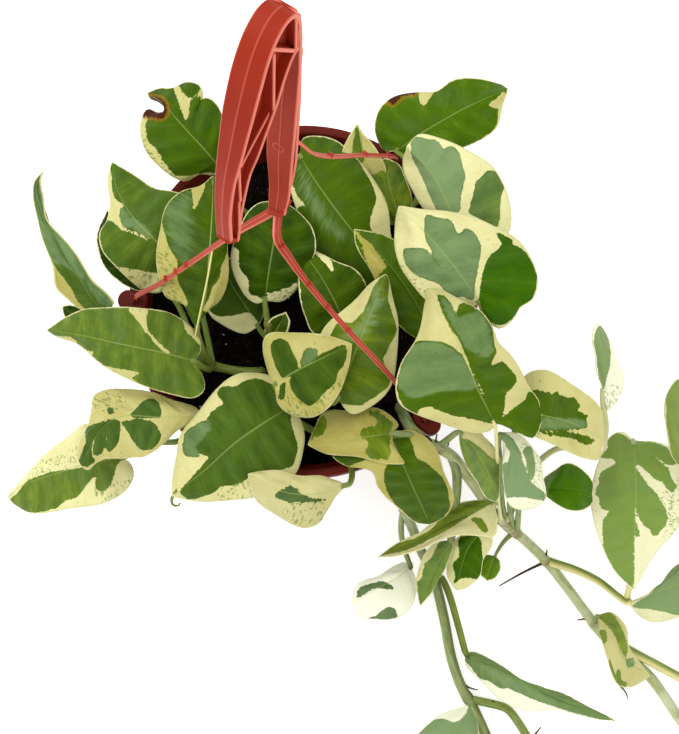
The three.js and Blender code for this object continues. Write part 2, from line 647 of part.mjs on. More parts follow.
// The vine that leaves the pot at the front and trails towards the viewer
const FRONT_VINE = {
  root: [372, 428],
  stems: [
    {
      line: [[376, 436, 128], [381, 446, 135], [387, 457, 137], [392, 470, 130], [397, 488, 108],
        [404, 508, 76], [412, 527, 46], [421, 550, 22], [434, 578, 7], [443, 613, 4], [452, 660, 4],
        [462, 688, 4], [469, 700, 4], [480, 722, 4], [490, 745, 4]],
      radius: 2.5,
      rooted: true,
    },
    { line: [[468, 699, 4], [488, 703, 3.8], [507, 709, 3.8], [518, 722, 3.8], [532, 745, 3.8]], radius: 2.1 },
  ],
  leaves: {
    cream: {
      rib: [[411, 567, 20], [392, 580, 30], [370, 592, 30], [352, 603, 20]],
      left: [[417, 585], [412, 605], [396, 618], [375, 620], [358, 614]],
      right: [[404, 562], [386, 572], [366, 580], [354, 590]],
      petiole: [[408, 560, 24], [402, 540, 38], [401, 522, 54], [404, 508, 74]],
    },
    long: {
      rib: [[466, 654, 9], [500, 671, 20], [548, 695, 22], [616, 721, 7]],
      left: [[474, 652], [500, 666], [525, 680], [551, 691], [580, 702]],
      right: [[466, 664], [478, 678], [500, 700], [524, 709], [551, 710], [580, 716]],
      lift: [-3, -5],
      petiole: [[464, 648, 10], [457, 622, 15], [448, 592, 13], [440, 577, 9], [435, 577, 7]],
    },
    frontEdge: {
      rib: [[470, 704, 7], [456, 730, 16], [444, 755, 16], [432, 785, 7]],
      left: [[478, 722], [476, 745], [462, 768]],
      right: [[455, 710], [430, 722], [414, 740], [415, 762]],
      lift: [-3, -3],
      petiole: [[470, 702, 6], [468, 698, 4.5]],
    },
  },
};

const LEAFY_STEMS = {
  leafy_stem_left: LEFT_STEM,
  leafy_stem_front_left: FRONT_LEFT_STEM,
  leafy_stem_front: FRONT_STEM,
  leafy_stem_centre: CENTRE_STEM,
  leafy_stem_back: BACK_STEM,
  leafy_stem_back_right: BACK_RIGHT_STEM,
  leafy_stem_right: RIGHT_STEM,
  trailing_vine_right: RIGHT_VINE,
  trailing_vine_front: FRONT_VINE,
};

// A point at an angle round the pot's axis.
function around(degrees, radius, height) {
  const angle = THREE.MathUtils.degToRad(degrees);
  return new THREE.Vector3(radius * Math.cos(angle), radius * Math.sin(angle), height);
}

// A lathe turned about +Z.
function turned(profile) {
  const points = profile.map(([radius, height]) => new THREE.Vector2(radius, height));
  return new THREE.LatheGeometry(points, ROUND_STEPS).rotateX(Math.PI / 2);
}

function upright(radius, bottom, top, sides) {
  return new THREE.CylinderGeometry(radius, radius, top - bottom, sides)
    .rotateX(Math.PI / 2)
    .translate(0, 0, (bottom + top) / 2);
}

// The wall's inner radius at a height, for the soil to fit.
const wallTop = RIM_RADIUS - RIM_OVERHANG;
function innerRadius(height) {
  const share = height / (POT_HEIGHT - RIM_BAND);
  return THREE.MathUtils.lerp(BASE_RADIUS, wallTop, share) - POT_WALL;
}

// A rounded block on the rim with a socket for one strand of the hanger.
function lugParts(degrees) {
  const half = LUG_WIDTH / 2;
  const inner = innerRadius(POT_HEIGHT - RIM_BAND) - 0.5;
  const outline = new THREE.Shape();
  outline.moveTo(inner, -half);
  outline.lineTo(LUG_REACH - half, -half);
  outline.absarc(LUG_REACH - half, 0, half, -Math.PI / 2, Math.PI / 2, false);
  outline.lineTo(inner, half);
  const block = new THREE.ExtrudeGeometry(outline, { depth: LUG_DEPTH, bevelEnabled: false, curveSegments: 5 });
  block.translate(0, 0, LUG_TOP - LUG_DEPTH);
  const socket = new THREE.BoxGeometry(STRAND_THICKNESS + 0.9, STRAND_WIDTH + 0.9, 2 * SOCKET_DEPTH);
  socket.translate(SOCKET_RADIUS, 0, LUG_TOP);
  return [block, socket].map((geometry) => solidOf(geometry.rotateZ(THREE.MathUtils.degToRad(degrees))));
}

function makePot() {
  const bandBottom = POT_HEIGHT - RIM_BAND;
  const profile = [
    [0, 0], [BASE_RADIUS - 2, 0], [BASE_RADIUS, 2], [wallTop, bandBottom], [RIM_RADIUS - 0.8, bandBottom + 0.6],
    [RIM_RADIUS, bandBottom + 2], [RIM_RADIUS, POT_HEIGHT - 1], [RIM_RADIUS - 1, POT_HEIGHT],
    [wallTop + 1, POT_HEIGHT], [innerRadius(bandBottom), bandBottom - 1],
    [innerRadius(POT_FLOOR), POT_FLOOR], [0, POT_FLOOR],
  ];
  let pot = solidOf(turned(profile));
  for (const degrees of Object.values(LUG_ANGLES)) {
    const [block, socket] = lugParts(degrees);
    pot = pot.add(block).subtract(socket);
  }
  for (let hole = 0; hole < DRAIN_COUNT; hole += 1) {
    const drain = upright(DRAIN_RADIUS, -1, POT_FLOOR + 1, 10);
    const place = around((360 * hole) / DRAIN_COUNT, DRAIN_RING, 0);
    pot = pot.subtract(solidOf(drain.translate(place.x, place.y, 0)));
  }
  return geometryOf(pot);
}

// The soil fills the pot; its top is uneven and has a plain hole for each rooted stem.
function makeSoil() {
  const bottom = POT_FLOOR + FIT_GAP;
  const radius = innerRadius(SOIL_HEIGHT) - FIT_GAP;
  const rings = [0.82, 0.56, 0.28];
  const profile = [[0, bottom], [innerRadius(bottom) - FIT_GAP, bottom], [radius, SOIL_HEIGHT - 1.5]];
  profile.push(...rings.map((share) => [share * radius, SOIL_HEIGHT]), [0, SOIL_HEIGHT]);
  const geometry = mergeVertices(turned(profile).deleteAttribute('uv').deleteAttribute('normal'), 1e-3);
  const places = geometry.attributes.position;
  const random = seededRandom(7);
  for (let i = 0; i < places.count; i += 1) {
    if (places.getZ(i) > SOIL_HEIGHT - 1) {
      places.setZ(i, places.getZ(i) + SOIL_RELIEF * (2 * random() - 1));
    }
  }
  let soil = solidOf(geometry);
  for (const { root, stems } of Object.values(LEAFY_STEMS)) {
    const entry = sighted([...root, SOIL_HEIGHT]);
    const hole = upright(stems[0].radius + FIT_GAP, SOIL_HEIGHT - STEM_ROOT_DEPTH, SOIL_HEIGHT + 5, 8);
    soil = soil.subtract(solidOf(hole.translate(entry.x, entry.y, 0)));
  }
  return geometryOf(soil);
}

// The hook, drawn in its own plane: how far it reaches forward from the foot of its shank, and
// its height above that foot.
const HOOK_BACK = [
  [-2.4, 0], [-5.6, 14], [-7.6, 25.5], [-9.4, 29], [-12.2, 53], [-15.2, 74], [-17.6, 91], [-19.4, 103],
  [-19, 110], [-16.5, 116], [-12.5, 117.5], [-7, 115], [-2.5, 111.5], [1.5, 107.5], [7.3, 97], [13.3, 83.5],
  [17.5, 72], [22.5, 55.5], [25.6, 38],
];
const HOOK_MOUTH = [
  [22.4, 29.5], [16.5, 47.5], [8.8, 65.5], [3.8, 74], [-0.5, 82], [-5.5, 88], [-11, 93.5], [-15.5, 96.5],
  [-16.6, 94.5], [-14.6, 83], [-11.4, 68], [-6, 36], [-3.5, 14], [0, 0],
];
const HOOK_RIBS = [
  [[-6.5, 113], [-15.5, 98]], [[-17, 114], [-16.4, 97]], [[-5, 112.5], [1, 80]], [[1, 79], [14.4, 79]],
  [[14.4, 79], [21, 36]], [[-14, 66], [-11.4, 66]], [[-9, 34], [-6, 34]],
];
const SHANK_WIDTHS = [[0, 7.2], [40, 9.6], [75, 9.4], [97, 7.6], [118, 6.4]];
const LIMB_WIDTHS = [[29, 5.2], [40, 5.3], [55, 5.9], [75, 7.3], [95, 8.1], [105, 7.6], [118, 6.4]];
const HOOK_SOLE = { front: 0.8, back: -6.8, width: 6.6, thickness: 2.4 };

function hookWidth(height, onLimb) {
  const widths = onLimb ? LIMB_WIDTHS : SHANK_WIDTHS;
  const next = Math.max(1, widths.findIndex(([top]) => top >= height));
  const [[z0, w0], [z1, w1]] = [widths[next - 1], widths[next]];
  return THREE.MathUtils.mapLinear(height, z0, z1, w0, w1);
}

// A profile moved sideways in its plane by the given distance.
function shiftedProfile(profile, distance) {
  return profile.map(([x, y], i) => {
    const [x0, y0] = profile[Math.max(i - 1, 0)];
    const [x1, y1] = profile[Math.min(i + 1, profile.length - 1)];
    const length = Math.hypot(x1 - x0, y1 - y0);
    return [x - (distance * (y1 - y0)) / length, y + (distance * (x1 - x0)) / length];
  });
}

// A flange along a profile: its outer face is the profile, its thickness lies inward.
function flange(profile, inward) {
  const inner = shiftedProfile(profile, inward);
  const top = profile.findIndex(([, height]) => height === Math.max(...profile.map((p) => p[1])));
  const limbFirst = profile[0][0] > 10;
  const rings = profile.map(([x, y], i) => {
    const onLimb = limbFirst ? i < top : i > top;
    const half = hookWidth(y, onLimb) / 2;
    const [u, v] = inner[i];
    return [[x, -half, y], [x, half, y], [u, half, v], [u, -half, v]].map((p) => new THREE.Vector3(...p));
  });
  return solidOf(skinRings(rings));
}

// A plate in the hook's plane, of the given outline and width.
function hookPlate(outline, width) {
  const shape = new THREE.Shape(outline.map(([x, y]) => new THREE.Vector2(x, y)));
  const plate = new THREE.ExtrudeGeometry(shape, { depth: width, bevelEnabled: false });
  return solidOf(plate.translate(0, 0, -width / 2).rotateX(Math.PI / 2));
}

function makeHook() {
  const web = [
    ...shiftedProfile(HOOK_BACK, -HOOK_FLANGE / 2),
    ...shiftedProfile(HOOK_MOUTH, -HOOK_FLANGE / 2),
  ];
  const pieces = [hookPlate(web, HOOK_WEB), flange(HOOK_BACK, -HOOK_FLANGE), flange(HOOK_MOUTH, -HOOK_FLANGE)];
  for (const [[x0, y0], [x1, y1]] of HOOK_RIBS) {
    const length = Math.hypot(x1 - x0, y1 - y0);
    const [u, v] = [(-0.6 * (y1 - y0)) / length, (0.6 * (x1 - x0)) / length];
    const outline = [[x0 + u, y0 + v], [x0 - u, y0 - v], [x1 - u, y1 - v], [x1 + u, y1 + v]];
    const width = hookWidth((y0 + y1) / 2, x0 + x1 > -12) - 1;
    pieces.push(hookPlate(outline, width));
  }
  const tip = [[25, 40.7], [21.5, 32.2], [22.1, 29.9], [25.3, 38.4]];
  pieces.push(hookPlate(tip, LIMB_WIDTHS[0][1] - 0.1));
  const { front, back, width, thickness } = HOOK_SOLE;
  pieces.push(hookPlate([[back, 0], [front, 0], [front, thickness], [back, thickness]], width));
  const hook = geometryOf(joined(pieces));
  hook.rotateZ(THREE.MathUtils.degToRad(-90 - HOOK_TURN));
  return hook.translate(HOOK_FOOT.x, HOOK_FOOT.y, HOOK_FOOT.z);
}

// The strands: flat strips that start under the hook's foot, hang in loose bends and end in
// the sockets of the lugs.
const STRANDS = {
  left: { start: [-4.9, -1.6], line: [[243, 227, 240], [219, 242, 219], [180, 269, 180], [150, 289, 154]] },
  front: {
    start: [-0.9, 1],
    line: [[278, 244, 246], [307, 282, 224], [348, 330, 200], [376, 360, 184], [394, 380, 170]],
  },
  back: { start: [-5, 2.4], line: [[299, 135, 236], [310, 150, 216], [328, 155, 196], [365, 154, 162]] },
};

function makeStrand(name) {
  const { start, line } = STRANDS[name];
  const degrees = LUG_ANGLES[name];
  const side = around(degrees + 90, 1, 0);
  const turn = THREE.MathUtils.degToRad(-90 - HOOK_TURN);
  const begin = new THREE.Vector3(start[0], start[1], 0).applyAxisAngle(new THREE.Vector3(0, 0, 1), turn);
  begin.add(HOOK_FOOT);
  const route = [
    begin.clone().setZ(HOOK_FOOT.z - 0.7),
    begin.clone().setZ(HOOK_FOOT.z - 4),
    ...line.map(sighted),
    around(degrees, SOCKET_RADIUS - 1, LUG_TOP + 6),
    around(degrees, SOCKET_RADIUS, LUG_TOP - 1),
    around(degrees, SOCKET_RADIUS, LUG_TOP - SOCKET_DEPTH + 0.4),
  ];
  return geometryOf(solidOf(strip(route, side, STRAND_WIDTH, STRAND_THICKNESS, 18)));
}

// Colours and finishes
const plastic = (color, roughness) => new THREE.MeshStandardMaterial({ color, roughness, metalness: 0 });
const FINISH = {
  pot: plastic(0x4a1512, 0.45),
  hanger: plastic(0xa33a26, 0.4),
  soil: new THREE.MeshStandardMaterial({ color: 0x17100c, roughness: 0.95, metalness: 0 }),
  leaf: new THREE.MeshStandardMaterial({ color: 0x5f8a34, roughness: 0.45, metalness: 0 }),
};

const group = new THREE.Group();

function place(name, geometry, material) {
  const mesh = new THREE.Mesh(geometry, material.clone());
  mesh.name = name;
  group.add(mesh);
}

place('pot', makePot(), FINISH.pot);
place('soil', makeSoil(), FINISH.soil);
place('hanger_hook', makeHook(), FINISH.hanger);
for (const name of Object.keys(STRANDS)) place(`hanger_strand_${name}`, makeStrand(name), FINISH.hanger);
for (const [name, plan] of Object.entries(LEAFY_STEMS)) place(name, leafyStem(plan), FINISH.leaf);

export default group;
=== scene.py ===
"""Potted variegated trailing plant in a hanging nursery pot: the looks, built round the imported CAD."""

import itertools
import math
import random

import bpy
import numpy as np
from mathutils import Matrix, Vector


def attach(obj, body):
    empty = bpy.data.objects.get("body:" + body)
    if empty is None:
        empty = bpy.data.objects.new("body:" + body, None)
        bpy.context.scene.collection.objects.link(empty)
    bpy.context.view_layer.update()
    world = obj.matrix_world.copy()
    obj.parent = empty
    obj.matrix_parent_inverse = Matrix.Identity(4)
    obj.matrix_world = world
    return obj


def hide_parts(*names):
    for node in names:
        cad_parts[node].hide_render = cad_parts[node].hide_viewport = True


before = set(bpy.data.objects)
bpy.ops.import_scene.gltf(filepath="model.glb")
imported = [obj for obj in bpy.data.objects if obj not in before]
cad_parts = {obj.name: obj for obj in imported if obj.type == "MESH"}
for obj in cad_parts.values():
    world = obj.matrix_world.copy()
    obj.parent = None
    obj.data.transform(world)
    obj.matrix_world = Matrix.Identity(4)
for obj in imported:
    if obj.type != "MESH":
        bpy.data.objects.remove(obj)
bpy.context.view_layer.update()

# Lengths are in millimetres and become metres when they are set in a piece.
MM = 0.001
UP = np.array([0, 0, 1.0])
POT_HEIGHT = 130
SOIL_HEIGHT = 112
STEM_ROOT_DEPTH = 14
WELD_GAP = 2e-6

# The camera: its place, its downward tilt, its lens in pixels of the 679 by 734 picture and the
# pixel at the middle of that picture.
EYE = np.array([17.7, -115.0, 603.2])
TILT = math.radians(80)
LENS = 1000
CENTRE = (339.5, 367)
PICTURE_HEIGHT = 734
SENSOR = 36
FORWARD = np.array([0, math.cos(TILT), -math.sin(TILT)])
UPWARD = np.array([0, math.sin(TILT), math.cos(TILT)])


def make_camera():
    bpy.ops.object.camera_add(location=tuple(EYE * MM), rotation=(math.pi / 2 - TILT, 0, 0))
    camera = bpy.context.object
    camera.name = "camera"
    camera.data.sensor_width = SENSOR
    camera.data.lens = LENS * SENSOR / PICTURE_HEIGHT
    camera.data.clip_start = 0.01
    camera.data.clip_end = 20
    bpy.context.scene.camera = camera


make_camera()


# Places and lines

def unit(vector):
    return vector / np.linalg.norm(vector)


def sighted(point):
    """The point seen at pixel (x, y) that lies at the given height above the surface."""
    x, y, height = point
    ray = np.array([(x - CENTRE[0]) / LENS, 0, 0]) + FORWARD + UPWARD * (CENTRE[1] - y) / LENS
    return EYE + ray * (height - EYE[2]) / ray[2]


def seen_at(points):
    """The pixels at which points are seen."""
    offset = points - EYE
    depth = offset @ FORWARD
    across = CENTRE[0] + LENS * offset[:, 0] / depth
    down = CENTRE[1] - LENS * (offset @ UPWARD) / depth
    return np.column_stack([across, down])


class SmoothLine:
    """A smooth line through points, asked for by its share of length from 0 to 1."""

    SAMPLES = 200

    def __init__(self, points):
        self.points = np.array(points, float)
        first = 2 * self.points[0] - self.points[1]
        last = 2 * self.points[-1] - self.points[-2]
        self.knots = np.vstack([first, self.points, last])
        samples = self.raw(np.linspace(0, 1, self.SAMPLES + 1))
        steps = np.linalg.norm(np.diff(samples, axis=0), axis=1)
        self.lengths = np.concatenate([[0], np.cumsum(steps)])
        self.length = self.lengths[-1]

    def raw(self, shares):
        """Places by share of the number of spans, so that each given point is met."""
        spans = len(self.points) - 1
        place = np.clip(np.asarray(shares, float), 0, 1) * spans
        span = np.minimum(place.astype(int), spans - 1)
        t = (place - span)[:, None]
        p0, p1, p2, p3 = (self.knots[span + k] for k in range(4))
        d0, d1, d2 = (
            np.sqrt(np.linalg.norm(b - a, axis=1))[:, None] for a, b in ((p0, p1), (p1, p2), (p2, p3)))
        start = ((p1 - p0) / d0 - (p2 - p0) / (d0 + d1) + (p2 - p1) / d1) * d1
        end = ((p2 - p1) / d1 - (p3 - p1) / (d1 + d2) + (p3 - p2) / d2) * d1
        square = -3 * p1 + 3 * p2 - 2 * start - end
        cube = 2 * p1 - 2 * p2 + start + end
        return p1 + start * t + square * t ** 2 + cube * t ** 3

    def at(self, shares):
        wanted = np.asarray(shares, float) * self.length
        return self.raw(np.interp(wanted, self.lengths, np.linspace(0, 1, self.SAMPLES + 1)))


def row_tangents(rows):
    tangents = np.gradient(rows, axis=0)
    return tangents / np.linalg.norm(tangents, axis=1)[:, None]


def rings_frame(middles):
    """Two directions across a line at each of its points, carried along without twist."""
    tangents = row_tangents(middles)
    side = np.cross(tangents[0], [0, 0, 1] if abs(tangents[0][2]) < 0.9 else [1, 0, 0])
    sides = []
    for tangent in tangents:
        side = unit(side - tangent * (side @ tangent))
        sides.append(side)
    sides = np.array(sides)
    return sides, np.cross(tangents, sides)


# Shaping and finishing pieces

def deselect():
    if bpy.context.object and bpy.context.object.mode != "OBJECT":
        bpy.ops.object.mode_set(mode="OBJECT")
    bpy.ops.object.select_all(action="DESELECT")


def pick(piece):
    deselect()
    piece.select_set(True)
    bpy.context.view_layer.objects.active = piece


def settle(piece):
    """Takes a piece's place, turn and size into its mesh."""
    pick(piece)
    bpy.ops.object.transform_apply(location=True, rotation=True, scale=True)


def set_in_place(piece, turn, place):
    """Stands a piece at a place; the columns of turn are its three directions."""
    rows = [[*turn[row], place[row] * MM] for row in range(3)]
    piece.matrix_world = Matrix([*rows, [0, 0, 0, 1]])
    settle(piece)


def apply_modifier(piece, kind, **settings):
    pick(piece)
    modifier = piece.modifiers.new(kind.lower(), kind)
    for key, value in settings.items():
        setattr(modifier, key, value)
    bpy.ops.object.modifier_apply(modifier=modifier.name)


def edit_whole(piece, operation, **settings):
    """Runs a mesh tool on all of a piece."""
    pick(piece)
    bpy.ops.object.mode_set(mode="EDIT")
    bpy.ops.mesh.select_all(action="SELECT")
    operation(**settings)
    bpy.ops.object.mode_set(mode="OBJECT")


def weld(piece):
    """Closes seams and poles, and turns the faces outwards."""
    edit_whole(piece, bpy.ops.mesh.remove_doubles, threshold=WELD_GAP)
    edit_whole(piece, bpy.ops.mesh.normals_make_consistent, inside=False)


def smooth(piece, degrees=None):
    pick(piece)
    if degrees is None:
        bpy.ops.object.shade_smooth()
    else:
        bpy.ops.object.shade_smooth_by_angle(angle=math.radians(degrees))


def mesh_places(piece):
    flat = np.empty(len(piece.data.vertices) * 3)
    piece.data.vertices.foreach_get("co", flat)
    return flat.reshape(-1, 3) / MM


def set_places(piece, places):
    piece.data.vertices.foreach_set("co", (places * MM).ravel())


def add_attribute(piece, name, values):
    layer = piece.data.attributes.new(name, "FLOAT", "POINT")
    layer.data.foreach_set("value", np.asarray(values, np.float32))


def formed_grid(name, long_steps, cross_steps, form):
    """A grid of faces whose points are placed by form(u, v), with u and v from 0 to 1.

    form returns the places in millimetres, the values that become the UV map, and a dict of
    further values for each point.
    """
    deselect()
    bpy.ops.mesh.primitive_grid_add(x_subdivisions=long_steps, y_subdivisions=cross_steps, size=1)
    piece = bpy.context.object
    piece.name = piece.data.name = name
    mesh = piece.data
    flat = np.empty(len(mesh.vertices) * 3)
    mesh.vertices.foreach_get("co", flat)
    flat = flat.reshape(-1, 3) + 0.5
    places, pattern, values = form(np.clip(flat[:, 0], 0, 1), np.clip(flat[:, 1], 0, 1))
    set_places(piece, places)
    corners = np.empty(len(mesh.loops), int)
    mesh.loops.foreach_get("vertex_index", corners)
    mesh.uv_layers[0].name = "pattern"
    mesh.uv_layers[0].data.foreach_set("uv", pattern[corners].ravel())
    for key, numbers in values.items():
        add_attribute(piece, key, numbers)
    mesh.update()
    return piece


def joined(name, pieces):
    deselect()
    for piece in pieces:
        piece.select_set(True)
    bpy.context.view_layer.objects.active = pieces[0]
    if len(pieces) > 1:
        bpy.ops.object.join()
    whole = bpy.context.view_layer.objects.active
    whole.name = whole.data.name = name
    return whole


def finish_piece(piece, node):
    settle(piece)
    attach(piece, "root")
    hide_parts(node)


def coat_and_finish(piece, material, degrees, node):
    """Finishes a piece of one material, shaded smooth except at edges sharper than the angle."""
    piece.data.materials.append(material)
    smooth(piece, degrees)
    finish_piece(piece, node)


# The plant, measured in the picture. Points are written as text, x,y or x,y,height: pixels of the
# picture, and millimetres above the surface. A semicolon parts two lines.

STEMS = {}
PLAIN_LEAF = {
    "lift": (-4, -4), "arch": 2, "speck": 0, "cream_tone": 0.12, "rib_tone": 0.42, "feather": 0.35,
    "grey_all": 0, "fresh": 0, "bleached": 0, "soft_grey": False,
}


def lines(text):
    """The lines that a text gives, as lists of points."""
    return [
        [tuple(float(part) for part in point.split(",")) for point in line.split()]
        for line in text.split(";") if line]


def add_stem(node, root, radii, text):
    """A stem or vine: the pixel at which it enters the soil, and the radius and line of each of its
    bare stalks. The first stalk starts in the soil."""
    STEMS[node] = {"root": root, "stalks": list(zip(lines(text), radii)), "leaves": {}}


def add_leaf(name, ground, tone, shape, **others):
    """A leaf of the stem that was added last.

    Its shape is four lines: the rib from base to tip, the left and the right margin, and the
    petiole. A margin's third number, and lift, are heights above the rib; arch is how far the halves
    swell between rib and margin.

    Ground is the colour under its patches, which lie over each other in the order cream, green, grey;
    flecked patches have denser specks, deep ones a fuller green, and burn marks a brown edge. Tone
    goes from bright yellow-green at 0 to deep green at 1, and cream_tone from pale to a darker olive
    that is partly the cream's own tone and partly painted shade. Grey_all greys the whole green, partly
    the leaf's own grey-green and partly painted sheen; soft_grey blurs the grey patches, fresh makes
    the green more vivid, and the bleaching value makes the leaf paler, partly its own paler colour and
    partly painted glare where the light is strongest. Speck is how densely the cream is speckled,
    feather how ragged the patches are, and rib_tone how much the midrib stands out.
    """
    leaf = {**PLAIN_LEAF, **others, "ground": ground, "tone": tone}
    leaf["rib"], leaf["left"], leaf["right"], leaf["petiole"] = lines(shape)
    for patch in ("cream", "green", "grey", "flecked", "deep", "burn"):
        leaf[patch] = lines(others.get(patch, ""))
    STEMS[list(STEMS)[-1]]["leaves"][name] = leaf


# Leaves and stems of the left side of the pot
add_stem("leafy_stem_left", (262, 373), [2.5], """
    258,372,123 238,371,125 213,366,126""")
add_leaf("crested", "green", 0.64, """
    197,329,158 205,300,166 209,262,172 212,220,170 213,176,162;
    189,314 182,303 166,298,-2 159,268,-4 159,236,-2 165,207 181,193 200,187;
    205,311 217,302 228,272 229,245 226,212 220,188;
    199,338,153 206,356,138 213,366,127""", lift=(-8, -8), speck=0.5, cream_tone=0.84, rib_tone=0.8, soft_grey=True,
    cream="""
        192,184 206,184 200,200 194,211 193,200;
        155,225 164,222 167,240 172,252 178,262 177,272 180,285 186,296 186,306 160,300 150,260;
        229,240 226,255 221,265 219,278 213,287 208,300 203,309 215,312 235,280 236,240""",
    grey="162,205 180,195 192,195 192,262 180,262 170,245 163,225",
    flecked="156,250 170,248 177,262 180,278 188,296 180,308 163,300 156,276")
add_leaf("broad", "green", 0.37, """
    194,361,158 160,352,168 120,344,172 80,335,166 47,330,152;
    203,378 203,391 194,397 175,395 144,387 112,369 77,345 58,337;
    200,350 198,336 187,322 168,312 140,310 112,307 87,308 68,317;
    201,366,150 209,369,136 213,367,127""", lift=(-6, -4), speck=0.35, cream_tone=0.55, grey_all=0.11,
    cream="""
        128,309 148,310 146,318 148,326 155,335 165,346 171,354 164,352 152,340 144,330 137,320;
        163,311 175,311 182,320 186,332 193,338 198,345 205,340 192,316 168,306;
        46,336 72,337 80,346 88,350 96,352 93,356 100,364 113,367 130,370 140,373 132,377 140,384 152,394
        140,394 100,374 56,345""",
    green="146,318 155,313 168,313 176,316 184,330 195,342 196,355 190,360 172,354 150,333")
add_leaf("pointed", "green", 0.47, """
    178,262,146 156,241,150 132,216,150 118,192,147 112,162,140;
    176,275,-3 162,291,-7 145,291,-9 130,281,-5 113,264 103,250 101,235 107,222 109,205 108,180;
    190,250 196,225 188,200 172,192 155,187 131,174;
    184,272,141 198,300,134 208,340,128 213,366,126""", speck=0.45, cream_tone=0.4, grey_all=0.09,
    cream="""
        106,160 111,170 113,192 117,200 124,206 120,212 121,222 126,229 135,232 147,237 150,241 133,234 122,230
        113,222 104,219 98,215;
        98,250 112,264 125,267 150,272 160,275 170,300 140,300 112,288""",
    grey="121,208 128,212 130,217 142,223 153,236 146,237 133,229 124,227 120,218",
    flecked="102,252 126,266 150,272 162,276 166,292 140,294 113,286")
add_leaf("shaded", "green", 0.9, """
    150,284,136 125,265,137 108,238,134 108,209,130;
    139,291 115,277 102,264 98,248 99,230;
    140,268 125,248 116,230 112,218;
    160,286,136 177,303,134 196,345,128 212,366,126""", lift=(-3, 0), arch=1, speck=0.2)
add_leaf("folded", "green", 0.58, """
    108,308,146 96,304,147 83,283,148 67,261,147 54,236,145 42,206,139 38,188,133 43,171,127;
    96,312 82,310 66,298 56,288 53,268 46,247 38,222 33,200 34,182;
    114,304 108,294 94,281 84,267 73,252 60,235 49,219 42,196 40,181;
    125,316,146 165,340,142 205,362,130 213,367,126""",
    lift=(2, 3), arch=-0.5, speck=0.8, cream_tone=0.89, rib_tone=0.25, grey_all=0.15,
    cream="50,262 57,270 64,279 72,290 77,301 86,312 60,305 44,285",
    grey="30,168 46,168 46,208 80,250 118,290 120,308 102,306 84,281 62,266 50,262 40,235")
add_leaf("tucked", "green", 0.85, """
    104,330,148 82,320,150 62,306,148;
    90,330 66,319;
    94,314 72,306;
    118,330,147 140,326,145""", lift=(-2, -2), arch=1, speck=0.5)

# Leaves and stem of the front left
add_stem("leafy_stem_front_left", (224, 425), [2.1], """
    221,427,126 216,428,134 212,426,140""")
add_leaf("drooping", "cream", 0.66, """
    201,416,143 160,417,151 122,416,149 102,428,143 81,466,132;
    190,424 175,432 160,444 146,456 128,458 108,457 97,462 88,470;
    196,408 171,401 152,392 131,388 108,390 96,396 93,408 88,424 80,440 77,455;
    206,420,141 212,425,139""", speck=0.6, cream_tone=0.64, grey_all=0.24,
    green="""
        131,417 137,408 144,401 150,399 157,401 161,408 161,414 158,418;
        123,421 150,421 158,428 161,436 155,446 148,450 141,449 135,443 128,431;
        108,419 119,420 121,428 119,440 115,448 110,452 107,448 107,435 105,425;
        98,424 105,421 107,435 104,450 98,455 93,453 94,443 97,433;
        86,430 92,425 99,424 97,434 93,443 92,455 95,460 88,466 80,464 81,455 86,443;
        108,407 114,408 114,413 109,415""",
    flecked="93,388 124,388 126,408 108,414 92,408")
add_leaf("lowest", "cream", 0.32, """
    122,458,110 96,462,115 60,472,114 25,484,106 8,497,97;
    131,464 134,476 126,490 105,502 72,509 42,513 26,511 14,504;
    112,440 98,428 84,424 66,437 47,455 30,470 18,483;
    136,452,112 156,443,124 178,441,135 198,433,138 211,426,139""", speck=0.7, cream_tone=0.06, grey_all=0.12,
    green="""
        120,459 117,465 113,478 109,487 103,491 97,490 95,482 97,478 91,479 84,489 77,497 66,500 58,507 45,511
        28,514 17,508 10,500 18,492 28,481 42,475 55,471 75,469 90,465 96,460""",
    flecked="58,455 90,440 82,466 50,478 26,482 36,464; 95,488 120,480 134,474 126,494 104,504")

# Leaves and stem of the front
add_stem("leafy_stem_front", (291, 427), [2.3], """
    292,424,126 291,418,138 288,412,147""")
add_leaf("large", "cream", 0.59, """
    287,409,150 262,424,158 235,443,158 205,470,150 172,496,136;
    296,414 303,430 304,446 297,472 274,488 248,498 211,502 187,499;
    284,390 272,376 252,373 234,377 216,391 196,413 181,434 178,455 173,478;
    289,411,149 289,413,145""", lift=(-6, -6), speck=0.45, cream_tone=0.35, grey_all=0.1,
    green="""
        218,396 219,390 226,386 235,387 245,381 258,379 270,384 280,392 284,400 290,410 291,425 297,445 295,458
        288,468 250,474 248,478 236,484 222,486 215,492 200,497 190,499 180,492 186,484 200,468 210,456 206,456
        197,452 196,447 205,435 208,430 208,420 212,412 222,405 223,402""",
    grey="208,420 196,425 186,432 184,440 183,448 187,456 200,456 197,447 205,436 211,430",
    flecked="222,480 252,476 254,500 220,500")
add_leaf("upper", "cream", 0.68, """
    275,384,164 292,373,172 318,360,178 352,344,180;
    268,372 264,352 268,335 289,332 319,335 338,339;
    279,404 290,413 311,418 328,408 340,390 349,366;
    278,392,160 284,404,153 288,412,146""", speck=0.6, cream_tone=0.8, grey_all=0.07,
    green="""
        271,346 277,339 287,341 293,352 298,364 295,373 284,378 279,372 274,360;
        290,380 300,368 318,356 335,348 346,346 345,362 338,372 335,383 325,392 318,400 311,405 302,401 293,392;
        281,385 286,382 286,390 284,399 279,398""",
    grey="300,364 304,352 308,348 317,350 317,356 312,362 306,366",
    flecked="285,390 300,398 320,396 335,383 345,362 352,345 348,376 332,402 310,422 286,414")
